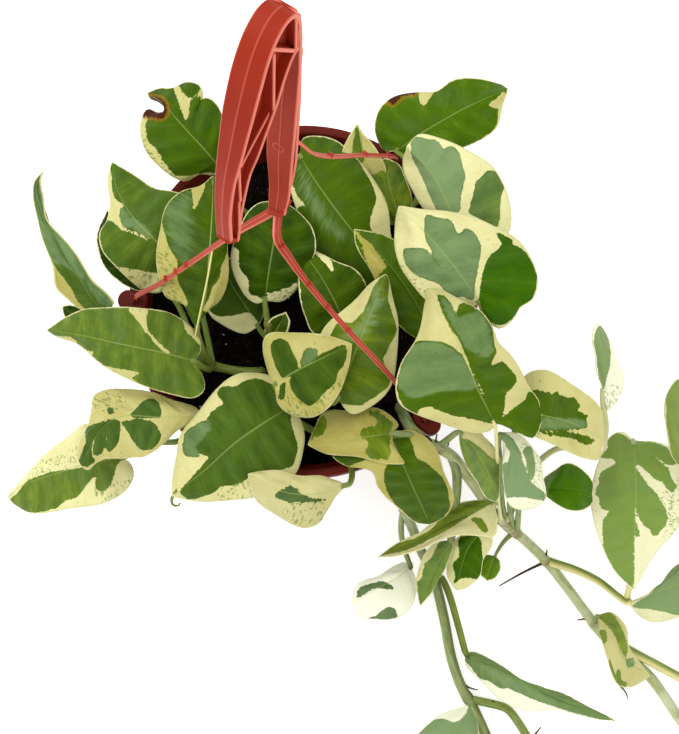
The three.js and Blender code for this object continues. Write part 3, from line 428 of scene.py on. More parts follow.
add_leaf("pale", "cream", 0.85, """
    345,485,158 318,494,166 285,492,168 248,474,162;
    333,500 326,512 318,522 304,526 281,519 258,501;
    338,481 311,476 281,472 262,471;
    349,484,152 352,476,139 351,466,134 338,445,132 312,430,132 293,420,136""",
    lift=(-14, -3), speck=0.5, cream_tone=0.8, feather=0.8, grey_all=0.02, bleached=0.15,
    grey="276,494 288,487 296,488 300,493 314,498 326,499 310,502 290,502 283,500",
    flecked="286,504 322,500 326,520 300,528 282,518")

# Leaves and stem of the middle
add_stem("leafy_stem_centre", (272, 345), [2.2], """
    271,341,126 270,334,134 268,322,142""")
add_leaf("behind_shank", "green", 0.78, """
    265,300,146 269,270,156 275,235,160 281,202,154;
    256,303 246,297 237,281 232,252 238,230 248,213 262,203;
    282,301 299,284 312,262 316,248 310,226 294,208;
    266,310,143 268,322,140""", speck=0.5, cream_tone=0, feather=0.8, fresh=0.1,
    cream="""
        226,245 238,250 239,259 241,271 249,280 249,290 258,297 266,298 268,293 279,290 289,286 299,280 305,290
        282,308 250,308 226,285""",
    flecked="262,290 280,286 292,280 302,282 290,302 266,308")
add_leaf("low", "green", 0.64, """
    258,326,128 245,305,132 232,285,134 222,262,132;
    245,333 228,328 212,317 207,305 212,280;
    264,312 262,290 248,268 233,258;
    262,332,126 270,340,125""", lift=(-2, -2), arch=1, speck=0.3, grey_all=0.07,
    cream="205,306 215,315 228,316 241,314 250,313 258,323 262,336 236,338 215,328")
add_leaf("middle", "green", 0.63, """
    346,326,146 335,302,152 318,272,156 297,246,150;
    330,334 313,333 304,314 299,283 295,258;
    360,320 368,300 366,287 355,270 333,259 308,250;
    340,338,140 310,345,133 285,348,128 272,343,124""", lift=(-3, -3), speck=0.2, cream_tone=0,
    cream="310,248 322,256 330,259 333,272 327,266 320,259")
add_leaf("tall", "cream", 0.34, """
    338,398,160 350,365,168 368,320,171 386,274,165;
    326,404 322,390 318,360 322,335 340,313 358,296 371,284;
    352,414 375,404 390,385 396,362 399,340 398,322 392,300 389,282;
    333,403,155 320,398,144 300,378,133 280,358,128 272,343,126""",
    lift=(-5, -4), speck=0.2, cream_tone=0.44, soft_grey=True,
    green="""
        384,274 388,276 388,300 391,311 395,323 396,333 388,348 383,360 388,372 390,380 386,388 366,402 357,405
        337,403 326,402 318,360 330,337 338,323 352,323 359,316 366,310 371,293 379,280""",
    grey="378,284 384,300 376,320 366,336 352,344 344,336 360,318 370,296")
add_leaf("sprout", "green", 0.7, """
    272,338,134 279,325,142 286,312,144;
    265,331 272,318;
    286,334 290,322;
    271,340,131 270,342,128""", lift=(2, 2), arch=0)

# Leaves and stem of the back
add_stem("leafy_stem_back", (285, 186), [2.2], """
    286,182,126 289,172,133 296,161,138""")
add_leaf("long", "green", 0.56, """
    300,156,140 318,185,147 350,228,149 385,270,144 402,292,138;
    304,138 320,137 336,142 350,152 364,165 376,182 386,206 390,235 398,262;
    290,165 290,185 296,210 308,230 318,252 340,268 366,287 388,298;
    298,158,139 295,162,137""", lift=(-5, -6), speck=0.15, cream_tone=0.24, soft_grey=True,
    cream="""
        350,146 362,168 371,183 376,198 373,209 370,220 371,230 380,240 396,256 402,250 390,225 385,195 375,175
        360,158;
        286,168 293,185 300,199 306,206 300,206 296,211 288,200 284,185""",
    grey="300,165 330,215 348,240 330,235 312,215 300,190")
add_leaf("bitten", "green", 0.62, """
    222,170,140 205,150,150 180,123,152 165,106,148 148,93,140;
    214,175 199,174 183,180 162,169 147,154 141,138 142,124 148,111 160,115 165,109 158,102 150,98;
    226,160 226,135 220,109 208,99 199,102 202,92 198,84 186,81 172,88 160,89;
    229,180,136 236,203,128 257,217,121 277,209,119 285,187,123""",
    speck=0.75, cream_tone=0.57, feather=0.6, fresh=0.15,
    cream="""
        173,84 178,100 184,119 188,117 191,101 200,97 204,100 203,88 196,96 188,98 180,88;
        136,100 148,112 146,125 148,140 157,150 163,160 170,170 180,176 215,172 215,186 166,188 134,150""",
    flecked="138,130 150,130 158,150 172,170 200,174 200,184 160,186 140,160",
    burn="140,98 160,98 168,108 164,119 152,118 142,116")

# Leaves and stem of the back right
add_stem("leafy_stem_back_right", (392, 213), [2.2], """
    391,207,126 386,196,129 379,184,131""")
add_leaf("scorched", "green", 0.48, """
    396,151,138 425,131,146 465,108,150 508,89,148;
    383,150 375,130 380,111 394,98 417,91 437,90 454,81 482,80 500,84;
    410,160 440,154 465,147 497,127 503,105;
    405,158,141 412,178,139 418,197,134 407,209,127 392,208,125.5""",
    lift=(-6, -4), speck=0.15, cream_tone=0.55, fresh=0.3,
    cream="""
        498,108 504,106 503,122 497,133 493,133 497,122;
        419,90 434,88 431,98 424,106 420,104;
        489,104 497,98 503,92 508,98 502,109 491,107""",
    burn="388,98 398,86 420,86 416,94 409,96 403,97 397,103 391,105")
add_leaf("lobed", "cream", 0.4, """
    462,246,158 452,215,166 436,180,168 407,146,160;
    450,240 428,213 416,200 408,182 404,162;
    490,246 508,232 509,196 494,168 469,153 443,139 420,134;
    462,256,152 445,254,138 415,228,127 391,208,125""",
    lift=(-16, -4), speck=0.1, cream_tone=0, grey_all=0.29, fresh=0.1,
    green="""
        485,172 490,170 497,174 501,180 504,188 501,195 500,207 499,220 496,228 485,222 472,215 468,213 470,204
        473,195 475,183 480,178""",
    grey="""
        411,142 418,137 424,139 430,140 437,141 443,149 448,147 455,148 459,153 462,165 465,175 463,185 461,195
        460,205 459,212 440,212 430,195 425,183 418,168 412,155""")
add_leaf("spear", "cream", 0.4, """
    375,188,134 365,160,138 357,124,138;
    352,174 342,154 348,138;
    386,172 377,150 364,134;
    379,196,130 385,198,128""", lift=(2, 2), arch=0, cream_tone=1, bleached=0.1,
    green="352,165 354,135 357,127 360,135 364,160")
add_leaf("glossy", "green", 0.28, """
    402,226,128 396,206,134 389,184,137 386,158,136;
    388,222 376,205 369,185 372,166;
    412,206 408,186 400,166;
    402,224,124 393,211,120""", lift=(-1, -1), arch=1, grey_all=0.02)

# Leaves and stem of the right side
add_stem("leafy_stem_right", (418, 354), [2.2], """
    420,352,126 430,349,135 445,347,143""")
add_leaf("heart", "cream", 0.51, """
    480,303,178 462,277,186 432,240,186 399,206,177;
    462,309 440,306 424,298 404,274 396,244 395,222;
    490,320 499,328 512,320 520,308 534,299 539,280 534,264 518,242 497,229 475,217 450,211 422,210;
    484,312,174 490,328,168 490,352,158 470,362,150 447,348,143""",
    lift=(-10, -6), speck=0.55, cream_tone=0.16, grey_all=0.22, fresh=0.4,
    green="""
        500,247 507,244 515,246 525,252 533,264 537,275 537,290 532,300 522,306 516,312 512,318 505,324 497,325
        488,318 480,305 479,296 481,280 485,265 490,255;
        496,233 505,236 515,242 508,246 501,243""",
    grey="""
        425,217 431,216 438,218 446,219 452,222 455,230 459,234 463,230 469,229 474,233 479,241 481,249 479,262
        477,272 475,285 474,298 470,299 455,292 446,278 437,262 430,248 425,236;
        404,250 410,248 425,249 432,256 440,266 450,280 456,290 462,296 450,296 440,285 428,280 418,276 411,270
        405,262""",
    flecked="402,262 412,274 430,288 440,300 424,300 402,282",
    deep="500,228 525,236 545,262 548,292 535,312 512,334 492,322 481,308 479,290 484,268 492,250")
add_leaf("dark", "green", 0.45, """
    442,352,146 425,318,152 395,272,158 354,229,159;
    425,345 400,325 383,300 370,268 356,245;
    450,330 440,300 420,262 385,235;
    445,351,144 446,348,142""", lift=(-2, -3), speck=0.1, cream_tone=1, feather=0.9, fresh=0.15,
    cream="350,226 362,237 371,245 379,256 386,266 384,270 376,278 370,272 366,260 361,243")

# The vine that leaves the pot at the front right and trails to the right along the surface
add_stem("trailing_vine_right", (400, 408), [2.6, 2.3, 2, 0.9], """
    404,416,130 412,430,137 424,441,138 437,447,134 452,456,125 463,470,110 476,488,84 490,508,58 508,526,34
    528,543,17 546,561,8 566,586,4.5 586,613,4 604,636,4 628,657,4 651,678,4 679,718,4 697,742,4;
    603,634,4.5 629,650,5 655,664,5 679,677,5 705,692,5;
    451,455,126 456,470,116 457,487,98 455,507,74 452,526,56 451,540,46;
    547,561,8 524,572,5 499,586,2.5""")
add_leaf("top", "cream", 0.51, """
    495,424,168 478,389,184 462,350,194 446,318,196 429,288,190;
    488,431 478,432 445,424 417,416 400,404 396,388 401,366 417,336 425,304;
    505,424 520,432 534,438 543,418 540,402 526,384 512,357 499,341 494,328 482,312 460,301 440,290;
    496,432,162 497,455,138 498,480,108 499,505,70 503,521,42 509,527,34""",
    lift=(-8, -6), speck=0.15, cream_tone=0.47, fresh=0.12,
    green="""
        414,344 422,341 435,341 448,344 458,351 464,359 474,379 482,397 494,420 488,422 474,419 449,414 436,409
        429,406 419,409 416,416 409,414 402,404 397,390 398,380 400,370 404,361 409,354;
        437,298 442,296 448,300 452,308 456,315 459,305 466,304 475,309 484,316 491,327 494,345 496,353 490,366
        501,361 508,367 515,375 516,381 512,387 505,395 504,409 497,424 482,391 473,371 465,354 458,338 450,328;
        528,391 534,394 540,402 544,418 540,432 532,438 518,432 500,425 506,414 514,408 524,400""",
    grey="""
        403,362 413,345 435,342 458,352 470,372 476,388 440,392 415,398 400,390 398,378;
        440,300 450,303 458,318 470,312 484,318 492,345 488,356 470,352 455,330""")
add_leaf("cream_edged", "cream", 0.5, """
    518,412,156 545,416,162 575,424,158 603,441,146;
    515,392 527,375 545,371 565,379 585,393 600,410 604,428;
    525,428 541,439 565,450 585,458 598,460;
    514,418,148 515,438,130 513,470,104 510,505,62 513,530,30""", speck=0.15, cream_tone=0.51, feather=0.8,
    green="""
        530,393 545,392 552,394 556,392 562,396 568,398 573,397 577,402 580,406 577,410 583,413 587,415 586,421
        586,427 580,429 570,430 558,431 545,431 556,432 568,431 580,434 588,436 594,440 592,444 584,444 577,440
        565,437 545,434 530,425""",
    grey="540,419 560,418 582,420 584,427 562,429 542,428")
add_leaf("grey_green", "cream", 0, """
    502,433,145 513,449,142 527,468,137 546,498,123;
    503,450 504,472 505,495 512,507 530,508 542,503;
    512,433 527,441 538,455 541,470 545,485;
    499,438,141 501,468,109 502,503,61 506,523,38""",
    lift=(-6, -3), arch=1, speck=0.85, cream_tone=0.3, grey_all=0.68, fresh=0.2, bleached=0.7,
    green="523,450 530,446 533,455 535,465 534,475 531,480 527,472 526,462",
    grey="""
        497,430 505,433 513,440 519,449 522,458 525,468 530,480 535,485 543,492 548,500 535,499 525,497 510,497
        503,500 500,493 499,478 502,468 505,462 508,462 510,455 508,448 503,440""",
    flecked="522,440 540,446 544,470 536,484 526,470 520,454")
add_leaf("round", "green", 0.52, """
    541,488,108 560,488,112 580,490,110 592,494,104;
    545,478 556,469 568,464 582,469 592,482;
    547,497 558,504 572,511 584,509 592,502;
    534,488,102 521,502,72 517,533,26""", lift=(-3, -3), rib_tone=0.1, fresh=0.85,
    grey="541,480 548,472 556,469 560,470 556,478 550,485 548,492 543,488")
add_leaf("slender", "cream", 0.3, """
    603,392,128 606,372,138 603,350,142 597,323,136;
    599,378 595,362 593,345 593,330;
    609,411 618,398 623,382 620,364 611,346 602,328;
    603,402,123 606,425,117 603,443,114 590,450,110 560,448,102 535,466,88 517,502,60 505,523,38""",
    lift=(4, -6), arch=0, speck=0.5, cream_tone=0.26, bleached=0.8,
    grey="593,345 596,330 602,326 608,340 610,352 610,362 607,375 604,388 600,385 597,368 593,358",
    flecked="604,386 618,384 622,404 606,414")
add_leaf("fingered", "cream", 0.05, """
    633,440,74 636,480,84 635,530,84 634,590,64;
    640,441 655,442 672,450 684,470 686,498 680,521 662,545 648,566;
    622,432 610,437 600,456 594,475 591,498 594,522 602,548 616,572;
    634,452,64 637,500,50 634,560,40 626,601,33""",
    speck=0.35, cream_tone=0, feather=0.5, grey_all=0.19, fresh=0.35, bleached=0.35,
    green="""
        600,458 608,448 607,438 614,434 622,434 630,440 635,445 635,500 634,540 633,588 622,582 612,572 604,560
        603,540 603,520 610,512 600,508 600,500 596,495 596,488 600,487 599,478 604,470 612,466 616,464 612,459;
        634,443 645,442 655,443 665,447 672,453 676,461 675,465 668,465 660,460 655,458 662,464 668,470 672,480
        676,487 673,492 667,490 663,483 656,480 648,473 638,465 634,464;
        634,468 643,478 648,485 655,492 662,503 667,515 666,525 660,530 658,536 652,536 650,530 643,525 638,515
        634,500;
        634,518 637,525 640,535 636,537 634,530""",
    flecked="662,490 684,480 686,528 664,540")
add_leaf("edge", "green", 0, """
    690,470,96 688,440,102 686,410,102 684,378,96;
    676,462 668,440 664,415 668,392 676,380;
    702,460 708,430 706,400 696,382;
    692,482,86 676,502,64 637,508,49""", grey_all=0.3, bleached=0.2,
    cream="660,392 666,402 667,425 670,448 660,448 655,420")
add_leaf("outer", "cream", 0.25, """
    628,603,36 655,592,44 685,582,44 718,574,34;
    637,605 650,597 664,583 679,562 698,553 712,560;
    640,616 655,621 680,618 702,604;
    619,597,32 598,581,22 575,570,13 556,564,9 547,561,8""", speck=0.05, cream_tone=0.35, grey_all=0.25, bleached=0.3,
    grey="632,606 650,594 662,580 679,556 725,545 725,606 700,613 679,615 665,612 650,609")
add_leaf("curled", "cream", 0.2, """
    598,616,10 614,632,20 622,655,22 650,676,12;
    612,612 624,626 630,646 638,662;
    601,636 608,660 617,684 634,686;
    596,619,8 594,624,4.5""", lift=(-3, 3), speck=0.5, cream_tone=0.67, grey_all=0.1, bleached=0.1,
    green="""
        595,614 606,612 614,616 619,624 624,634 627,646 626,657 622,652 618,642 612,632 605,624;
        599,632 606,631 606,642 600,644;
        616,670 620,671 621,679 627,683 622,688 616,682""",
    grey="625,660 632,658 634,664 628,668")
add_leaf("yellowed", "cream", 0.29, """
    392,433,148 366,437,153 338,442,152 308,445,146;
    393,446 405,463 389,463 366,459 340,455 324,452;
    398,424 376,409 350,410 325,413 314,430;
    398,433,147 410,435,143 417,437,140""", speck=0.3, cream_tone=0.91, feather=0.9,
    green="""
        360,431 365,428 372,426 377,422 372,417 368,413 374,411 385,417 393,425 388,433 380,438 375,442 370,440
        362,440;
        306,440 311,430 315,424 319,417 325,417 328,425 325,430 318,437;
        366,452 368,443 374,437 382,433 391,432 389,445 389,458 378,459 368,457""")
add_leaf("over_rim", "cream", 0.62, """
    393,436,144 400,457,145 412,485,131 430,524,100;
    405,430 418,433 433,446 446,476 453,502 446,516;
    380,442 352,449,1 332,455,3 346,466,4 371,470,3 378,485 387,498 402,512 417,522;
    400,435,144 413,437,140 420,440,138""", lift=(-2, -4), speck=0.1, cream_tone=0.89, fresh=0.05,
    green="""
        391,431 400,430 408,436 413,446 416,457 425,462 437,472 446,485 449,500 449,508 440,520 430,524 420,524
        410,518 398,507 390,496 385,484 384,472 388,464 396,463 403,465 397,455 392,444;
        329,455 345,454 360,457 366,459 357,463 348,466 338,463""")
add_leaf("olive", "green", 0.25, """
    460,432,142 478,455,138 490,478,128 497,502,112;
    466,419 480,431 493,446 499,460 500,482;
    460,447 467,465 478,485 488,498;
    456,433,140 447,440,136 438,447,134""", lift=(-3, -3), arch=1, speck=0.1, cream_tone=0.37, grey_all=0.3,
    cream="466,425 480,434 492,447 500,461 492,458 480,448 470,440 462,437")
add_leaf("narrow", "cream", 0.16, """
    495,502,82 460,518,78 425,537,68 378,557,52;
    496,520 494,536 480,536 458,536 437,541 420,549 400,556;
    480,500 455,505 438,517 420,533 397,543;
    494,505,76 490,509,60""", lift=(6, -2), arch=0, speck=0.1, cream_tone=0, grey_all=0.06,
    green="""
        378,556 395,545 415,538 432,528 445,512 460,503 480,500 497,500 470,516 448,530 415,547 398,553;
        470,519 480,518 487,526 488,532 482,532 476,524""")
add_leaf("small", "green", 0.25, """
    452,541,46 440,562,42 430,585,34 420,606,26;
    452,552 443,570 433,590;
    438,542 424,555 418,573 417,590;
    452,539,47 452,534,50""", lift=(-3, -3), arch=1, speck=0.1, grey_all=0.3, fresh=0.3,
    cream="440,538 432,556 425,564 421,578 415,580 415,555 430,540")
add_leaf("curled_over", "cream", 0.68, """
    486,528,46 470,545,42 462,565,34 456,590,22;
    492,540 484,560 478,577 466,588;
    470,530 454,540 448,556 447,575;
    493,524,43 500,521,42 504,522,40""", lift=(-3, -3), speck=0.4, cream_tone=0.17, fresh=0.6,
    green="459,539 468,536 479,537 482,552 481,577 466,577 458,580 454,584 455,574 453,563 459,556")
add_leaf("oval", "green", 0.19, """
    495,556,20 491,567,20 487,581,15;
    500,562 497,576;
    482,556 479,571;
    498,550,22 505,540,26 514,532,28""", lift=(-1, -1), arch=1, fresh=0.7)

# The vine that leaves the pot at the front and trails towards the viewer
add_stem("trailing_vine_front", (372, 428), [2.5, 2.1], """
    376,436,128 381,446,135 387,457,137 392,470,130 397,488,108 404,508,76 412,527,46 421,550,22 434,578,7
    443,613,4 452,660,4 462,688,4 469,700,4 480,722,4 490,745,4;
    468,699,4 488,703,3.8 507,709,3.8 518,722,3.8 532,745,3.8""")
add_leaf("cream", "cream", 0.76, """
    411,567,20 392,580,30 370,592,30 352,603,20;
    417,585 412,605 396,618 375,620 358,614;
    404,562 386,572 366,580 354,590;
    408,560,24 402,540,38 401,522,54 404,508,74""", speck=0.1, cream_tone=0, bleached=0.95,
    green="362,619 374,616 380,612 387,607 394,608 398,616 392,624 380,624 370,623",
    grey="357,596 360,588 370,584 382,581 388,583 394,589 385,589 375,588 368,592 360,597")
add_leaf("reaching", "cream", 0.43, """
    466,654,9 500,671,20 548,695,22 616,721,7;
    474,652 500,666 525,680 551,691 580,702;
    466,664 478,678 500,700 524,709 551,710 580,716;
    464,648,10 457,622,15 448,592,13 440,577,9 435,577,7""",
    lift=(-3, -5), speck=0.15, cream_tone=0.02, grey_all=0.07, bleached=0.8,
    green="""
        462,655 475,652 490,658 505,664 520,672 540,682 551,688 575,700 618,722 580,714 560,708 545,703 530,698
        520,692 510,688 500,688 490,681 480,678 472,668""",
    grey="480,664 500,672 520,682 545,696 560,706 530,697 505,686")
add_leaf("front_edge", "cream", 0.11, """
    470,704,7 456,730,16 444,755,16 432,785,7;
    478,722 476,745 462,768;
    455,710 430,722 414,740 415,762;
    470,702,6 468,698,4.5""", lift=(-3, -3), speck=0.05, cream_tone=0, grey_all=0.42, bleached=0.9,
    grey="400,734 420,724 440,719 455,722 465,715 470,706 478,720 482,742 470,772 440,790 410,765")


# Finishes

def tint(red, green, blue):
    """A colour given as on a screen, from 0 to 255, as Blender's linear colour."""
    def linear(value):
        value /= 255
        return value / 12.92 if value <= 0.04045 else ((value + 0.055) / 1.055) ** 2.4
    return (linear(red), linear(green), linear(blue), 1)


class Finish:
    """A procedural material under construction; each call adds a node and gives its output.

    Its patterns follow the pieces' own map, in centimetres, or else the object's own metres.
    """

    def __init__(self, name, mapped=True):
        self.material = bpy.data.materials.new(name)
        self.material.use_nodes = True
        self.tree = self.material.node_tree
        self.shader = self.tree.nodes["Principled BSDF"]
        self.mapped = mapped

    def set(self, socket, value):
        if isinstance(value, bpy.types.NodeSocket):
            self.tree.links.new(value, socket)
        else:
            socket.default_value = value

    def node(self, kind, output=0, inputs=None, **settings):
        made = self.tree.nodes.new(kind)
        for key, value in settings.items():
            setattr(made, key, value)
        for key, value in (inputs or {}).items():
            self.set(made.inputs[key], value)
        return made.outputs[output]

    def value(self, name):
        return self.node("ShaderNodeAttribute", "Fac", attribute_name=name)

    def pattern(self, scale=(1, 1, 1)):
        if self.mapped:
            place = self.node("ShaderNodeUVMap", uv_map="pattern")
        else:
            place = self.node("ShaderNodeTexCoord", "Object")
        return self.node("ShaderNodeMapping", inputs={"Vector": place, "Scale": scale})

    def noise(self, stretch, scale, detail=3, roughness=0.55):
        return self.node("ShaderNodeTexNoise", "Fac", {
            "Vector": self.pattern(stretch), "Scale": scale, "Detail": detail, "Roughness": roughness})

    def math(self, operation, first, *others):
        for other in others:
            first = self.node("ShaderNodeMath", inputs={0: first, 1: other}, operation=operation)
        return first

    def sum(self, *terms):
        return self.math("ADD", *terms)

    def times(self, *terms):
        return self.math("MULTIPLY", *terms)

    def swing(self, noise, reach):
        """A noise turned into a swing of plus or minus reach."""
        return self.node("ShaderNodeMapRange", clamp=False, inputs={
            "Value": noise, "From Min": 0.3, "From Max": 0.7, "To Min": -reach, "To Max": reach})

    def step(self, value, start, end):
        """0 below start, 1 above end."""
        return self.node("ShaderNodeMapRange", interpolation_type="SMOOTHSTEP", inputs={
            "Value": value, "From Min": start, "From Max": end})

    def between(self, value, low, high):
        return self.node("ShaderNodeMapRange", inputs={"Value": value, "To Min": low, "To Max": high})

    def mix(self, share, first, second):
        made = self.tree.nodes.new("ShaderNodeMix")
        made.data_type = "RGBA"
        for socket, value in ((0, share), (6, first), (7, second)):
            self.set(made.inputs[socket], value)
        return made.outputs[2]

    def relief(self, height, distance, strength):
        normal = self.node("ShaderNodeBump", inputs={"Height": height, "Distance": distance, "Strength": strength})
        self.set(self.shader.inputs["Normal"], normal)

    def surface(self, **sockets):
        for key, value in sockets.items():
            self.set(self.shader.inputs[key.replace("_", " ")], value)
        return self.material


EVEN = (1, 1, 1)
VEIN_GAP_CM = 0.8
# How sharp the lines of the side veins are, as a power of a wave
VEIN_SHARPNESS = 26


def leaf_finish(name, paleness):
    leaf = Finish(name)
    feather = leaf.noise((6, 1.3, 1), 1.0, 4, 0.62)
    broad = leaf.noise(EVEN, 0.9, 2)
    cluster = leaf.noise(EVEN, 2.2, 2)
    fine = leaf.noise((1.4, 1, 1), 9.0, 3, 0.7)
    fleck = leaf.noise((1.8, 1, 1), 5.5, 3, 0.6)
    streak = leaf.noise((6, 0.6, 1), 1.3, 3, 0.6)
    # Quilted cells, whose hollows are painted darker as shade
    quilt_shade = leaf.noise((2.2, 1, 1), 2.6, 3, 0.6)
    along, across = (leaf.node("ShaderNodeSeparateXYZ", axis, {0: leaf.pattern()}) for axis in (0, 1))
    from_rib = leaf.math("ABSOLUTE", across, 0)
    wave = leaf.math("SINE", leaf.times(along, 2 * math.pi / VEIN_GAP_CM), 0)

    # Where the blade is green, and how far that green is greyed: by its grey patches, and by painted sheen in pale
    # streaks along the side veins
    edge = leaf.sum(
        leaf.value("green"), leaf.times(leaf.swing(feather, 1.0), leaf.value("feather")), leaf.swing(fine, 0.12))
    # The rim along the margin, where the green stops and the painted highlight lies
    in_rim = leaf.step(leaf.sum(leaf.value("margin"), leaf.swing(feather, 0.3)), 0.45, 0.7)
    green_share = leaf.times(leaf.step(edge, -0.14, 0.14), in_rim)
    grey_edge = leaf.sum(leaf.value("grey"), leaf.swing(feather, 0.7), leaf.swing(streak, 0.7))
    greyed = leaf.step(grey_edge, -0.9, 1.0)
    # Painted sheen: pale grey streaks along the side veins, where a gloss would catch the light
    painted_sheen_streaks = leaf.times(leaf.step(leaf.sum(streak, leaf.swing(broad, 0.5)), 0.5, 0.8), 0.12)
    grey_and_sheen_share = leaf.math("MINIMUM", leaf.sum(leaf.times(greyed, 0.6), painted_sheen_streaks, leaf.value("grey_all")), 1.0)

    # The green, from bright to deep with its tone, with dark marks in it. Its drift is partly painted light: painted
    # sheen in the streaks, and painted shade on the slopes of the pillows between side veins and in the hollows of
    # quilted cells
    # Painted shade and light on the slopes of the pillows between the side veins
    painted_pillow_shade = leaf.times(wave, leaf.step(from_rib, 0.05, 0.6), 0.05)
    depth = leaf.sum(
        leaf.value("tone"), leaf.swing(broad, 0.1), leaf.swing(streak, 0.05), leaf.swing(quilt_shade, 0.06),
        leaf.times(greyed, -0.1), painted_pillow_shade)
    green = leaf.mix(leaf.step(depth, 0.0, 0.5), tint(124, 142, 38), tint(68, 94, 7))
    green = leaf.mix(leaf.step(depth, 0.45, 1.0), green, tint(28, 48, 1))
    green = leaf.mix(leaf.value("fresh"), green, leaf.mix(depth, tint(82, 128, 1), tint(30, 72, 0)))
    # Paler with the bleaching value: partly the leaf's own paler colour, partly painted glare where the light is
    # strongest
    green = leaf.mix(leaf.times(leaf.value("bleached"), 0.3), green, tint(160, 186, 140))
    # The grey-green is partly the leaf's own grey variegation and partly painted sheen
    grey_green_and_sheen = leaf.mix(leaf.step(depth, 0.2, 0.9), tint(122, 146, 99), tint(68, 95, 47))
    green = leaf.mix(grey_and_sheen_share, green, grey_green_and_sheen)
    clustered = leaf.sum(fleck, leaf.swing(cluster, 0.06))
    green = leaf.mix(leaf.times(leaf.step(clustered, 0.69, 0.72), 0.5), green, tint(30, 52, 6))

    # The cream, from pale to olive with its tone, the olive partly painted shade, with green flecks in it and a paler
    # rim that is a painted highlight along the margin
    cream_depth = leaf.sum(leaf.value("cream_tone"), leaf.swing(broad, 0.12), leaf.swing(fine, 0.04))
    cream = leaf.mix(cream_depth, tint(220, 217, 160), tint(160, 152, 68))
    cream = leaf.mix(leaf.times(leaf.step(fine, 0.42, 0.72), 0.3), cream, tint(206, 190, 122))
    # Paler cream with the bleaching value, partly painted glare where the light is strongest
    cream = leaf.mix(leaf.value("bleached"), cream, tint(236, 238, 214))
    flecks = leaf.step(leaf.sum(clustered, leaf.times(leaf.value("speck"), 0.15)), 0.67, 0.76)
    cream = leaf.mix(leaf.times(flecks, 0.7), cream, leaf.mix(0.4, green, tint(120, 140, 50)))
    # Painted highlight: a paler rim along the margin
    cream = leaf.mix(leaf.times(leaf.math("SUBTRACT", 1.0, in_rim), 0.4), cream, tint(226, 222, 166))
    colour = leaf.mix(green_share, cream, green)

    # The pale midrib, the faint side veins and burnt edges
    rib = leaf.math("SUBTRACT", 1.0, leaf.step(from_rib, 0.012, 0.045))
    colour = leaf.mix(leaf.times(rib, leaf.value("rib_tone")), colour, tint(150, 166, 92))
    vein = leaf.math("POWER", leaf.math("MAXIMUM", leaf.times(wave, -1), 0.0), VEIN_SHARPNESS)
    colour = leaf.mix(leaf.times(vein, leaf.step(from_rib, 0.02, 0.3), 0.04), colour, tint(150, 168, 88))
    burnt = leaf.sum(leaf.value("burn"), leaf.swing(fine, 0.8))
    colour = leaf.mix(leaf.times(leaf.step(burnt, -1.8, -0.6), 0.4), colour, tint(170, 108, 26))
    colour = leaf.mix(leaf.step(burnt, -0.4, 0.6), colour, tint(66, 30, 12))
    colour = leaf.mix(paleness, colour, tint(160, 178, 116))

    leaf.relief(leaf.sum(leaf.times(vein, -0.5), leaf.times(fine, 0.3), leaf.times(streak, 0.6)), 0.0003, 0.6)
    return leaf.surface(Base_Color=colour, Roughness=leaf.between(fine, 0.34, 0.48), Specular_IOR_Level=0.03)


def stalk_finish():
    stalk = Finish("stalk_green")
    streak = stalk.noise((0.5, 9, 1), 1.6, 3, 0.6)
    patch = stalk.noise((0.7, 1.5, 1), 1.0, 2)
    fine = stalk.times(stalk.noise((1, 5, 1), 9.0, 2), 0.4)
    colour = stalk.mix(stalk.step(streak, 0.36, 0.64), tint(84, 108, 26), tint(126, 142, 56))
    mottled = stalk.step(stalk.sum(patch, stalk.times(streak, 0.5)), 0.5, 0.9)
    bloom = stalk.times(stalk.value("bloom"), stalk.sum(0.25, stalk.times(mottled, 0.75)))
    colour = stalk.mix(bloom, colour, tint(184, 192, 160))
    colour = stalk.mix(stalk.value("pale_side"), colour, tint(222, 214, 146))
    brown = stalk.times(stalk.value("brown"), stalk.step(stalk.sum(streak, fine), 0.6, 0.72))
    colour = stalk.mix(brown, colour, tint(104, 62, 26))
    colour = stalk.mix(stalk.value("root"), colour, tint(60, 38, 22))
    stalk.relief(stalk.sum(streak, fine), 0.0004, 0.5)
    return stalk.surface(Base_Color=colour, Roughness=0.42, Specular_IOR_Level=0.2)


def moulded_finish(name, base, light, grain_scale, roughness):
    """Moulded plastic: slight colour drift, fine grain, dust in places and soft scratches, with a painted
    highlight on thin edges and raised lines.
    """
    plastic = Finish(name, mapped=False)
    drift = plastic.noise(EVEN, 18, 2)
    grain = plastic.noise(EVEN, grain_scale, 3, 0.7)
    rubbed = plastic.noise((1, 1, 0.15), 220, 3)
    colour = plastic.mix(plastic.step(drift, 0.35, 0.7), base, light)
    colour = plastic.mix(plastic.times(plastic.step(rubbed, 0.62, 0.74), 0.25), colour, light)
    # Painted highlight: thin edges and raised lines are drawn paler, where the edge value says
    colour = plastic.mix(plastic.value("edge"), colour, tint(216, 118, 100))
    plastic.relief(plastic.sum(grain, plastic.times(rubbed, 0.5)), 0.00012, 0.5)
    gloss = plastic.between(rubbed, roughness - 0.06, roughness + 0.1)
    return plastic.surface(Base_Color=colour, Roughness=gloss, Specular_IOR_Level=0.08)


def peat_finish():
    peat = Finish("damp_peat", mapped=False)
    lumps = peat.noise(EVEN, 260, 5, 0.65)
    fibres = peat.noise((1, 0.3, 1), 900, 3)
    colour = peat.mix(peat.step(lumps, 0.35, 0.7), tint(4, 3, 2), tint(26, 17, 12))
    colour = peat.mix(peat.times(peat.step(fibres, 0.62, 0.7), 0.5), colour, tint(104, 74, 50))
    peat.relief(peat.sum(lumps, peat.times(fibres, 0.4)), 0.0016, 1.0)
    return peat.surface(Base_Color=colour, Roughness=0.9, Specular_IOR_Level=0.05)


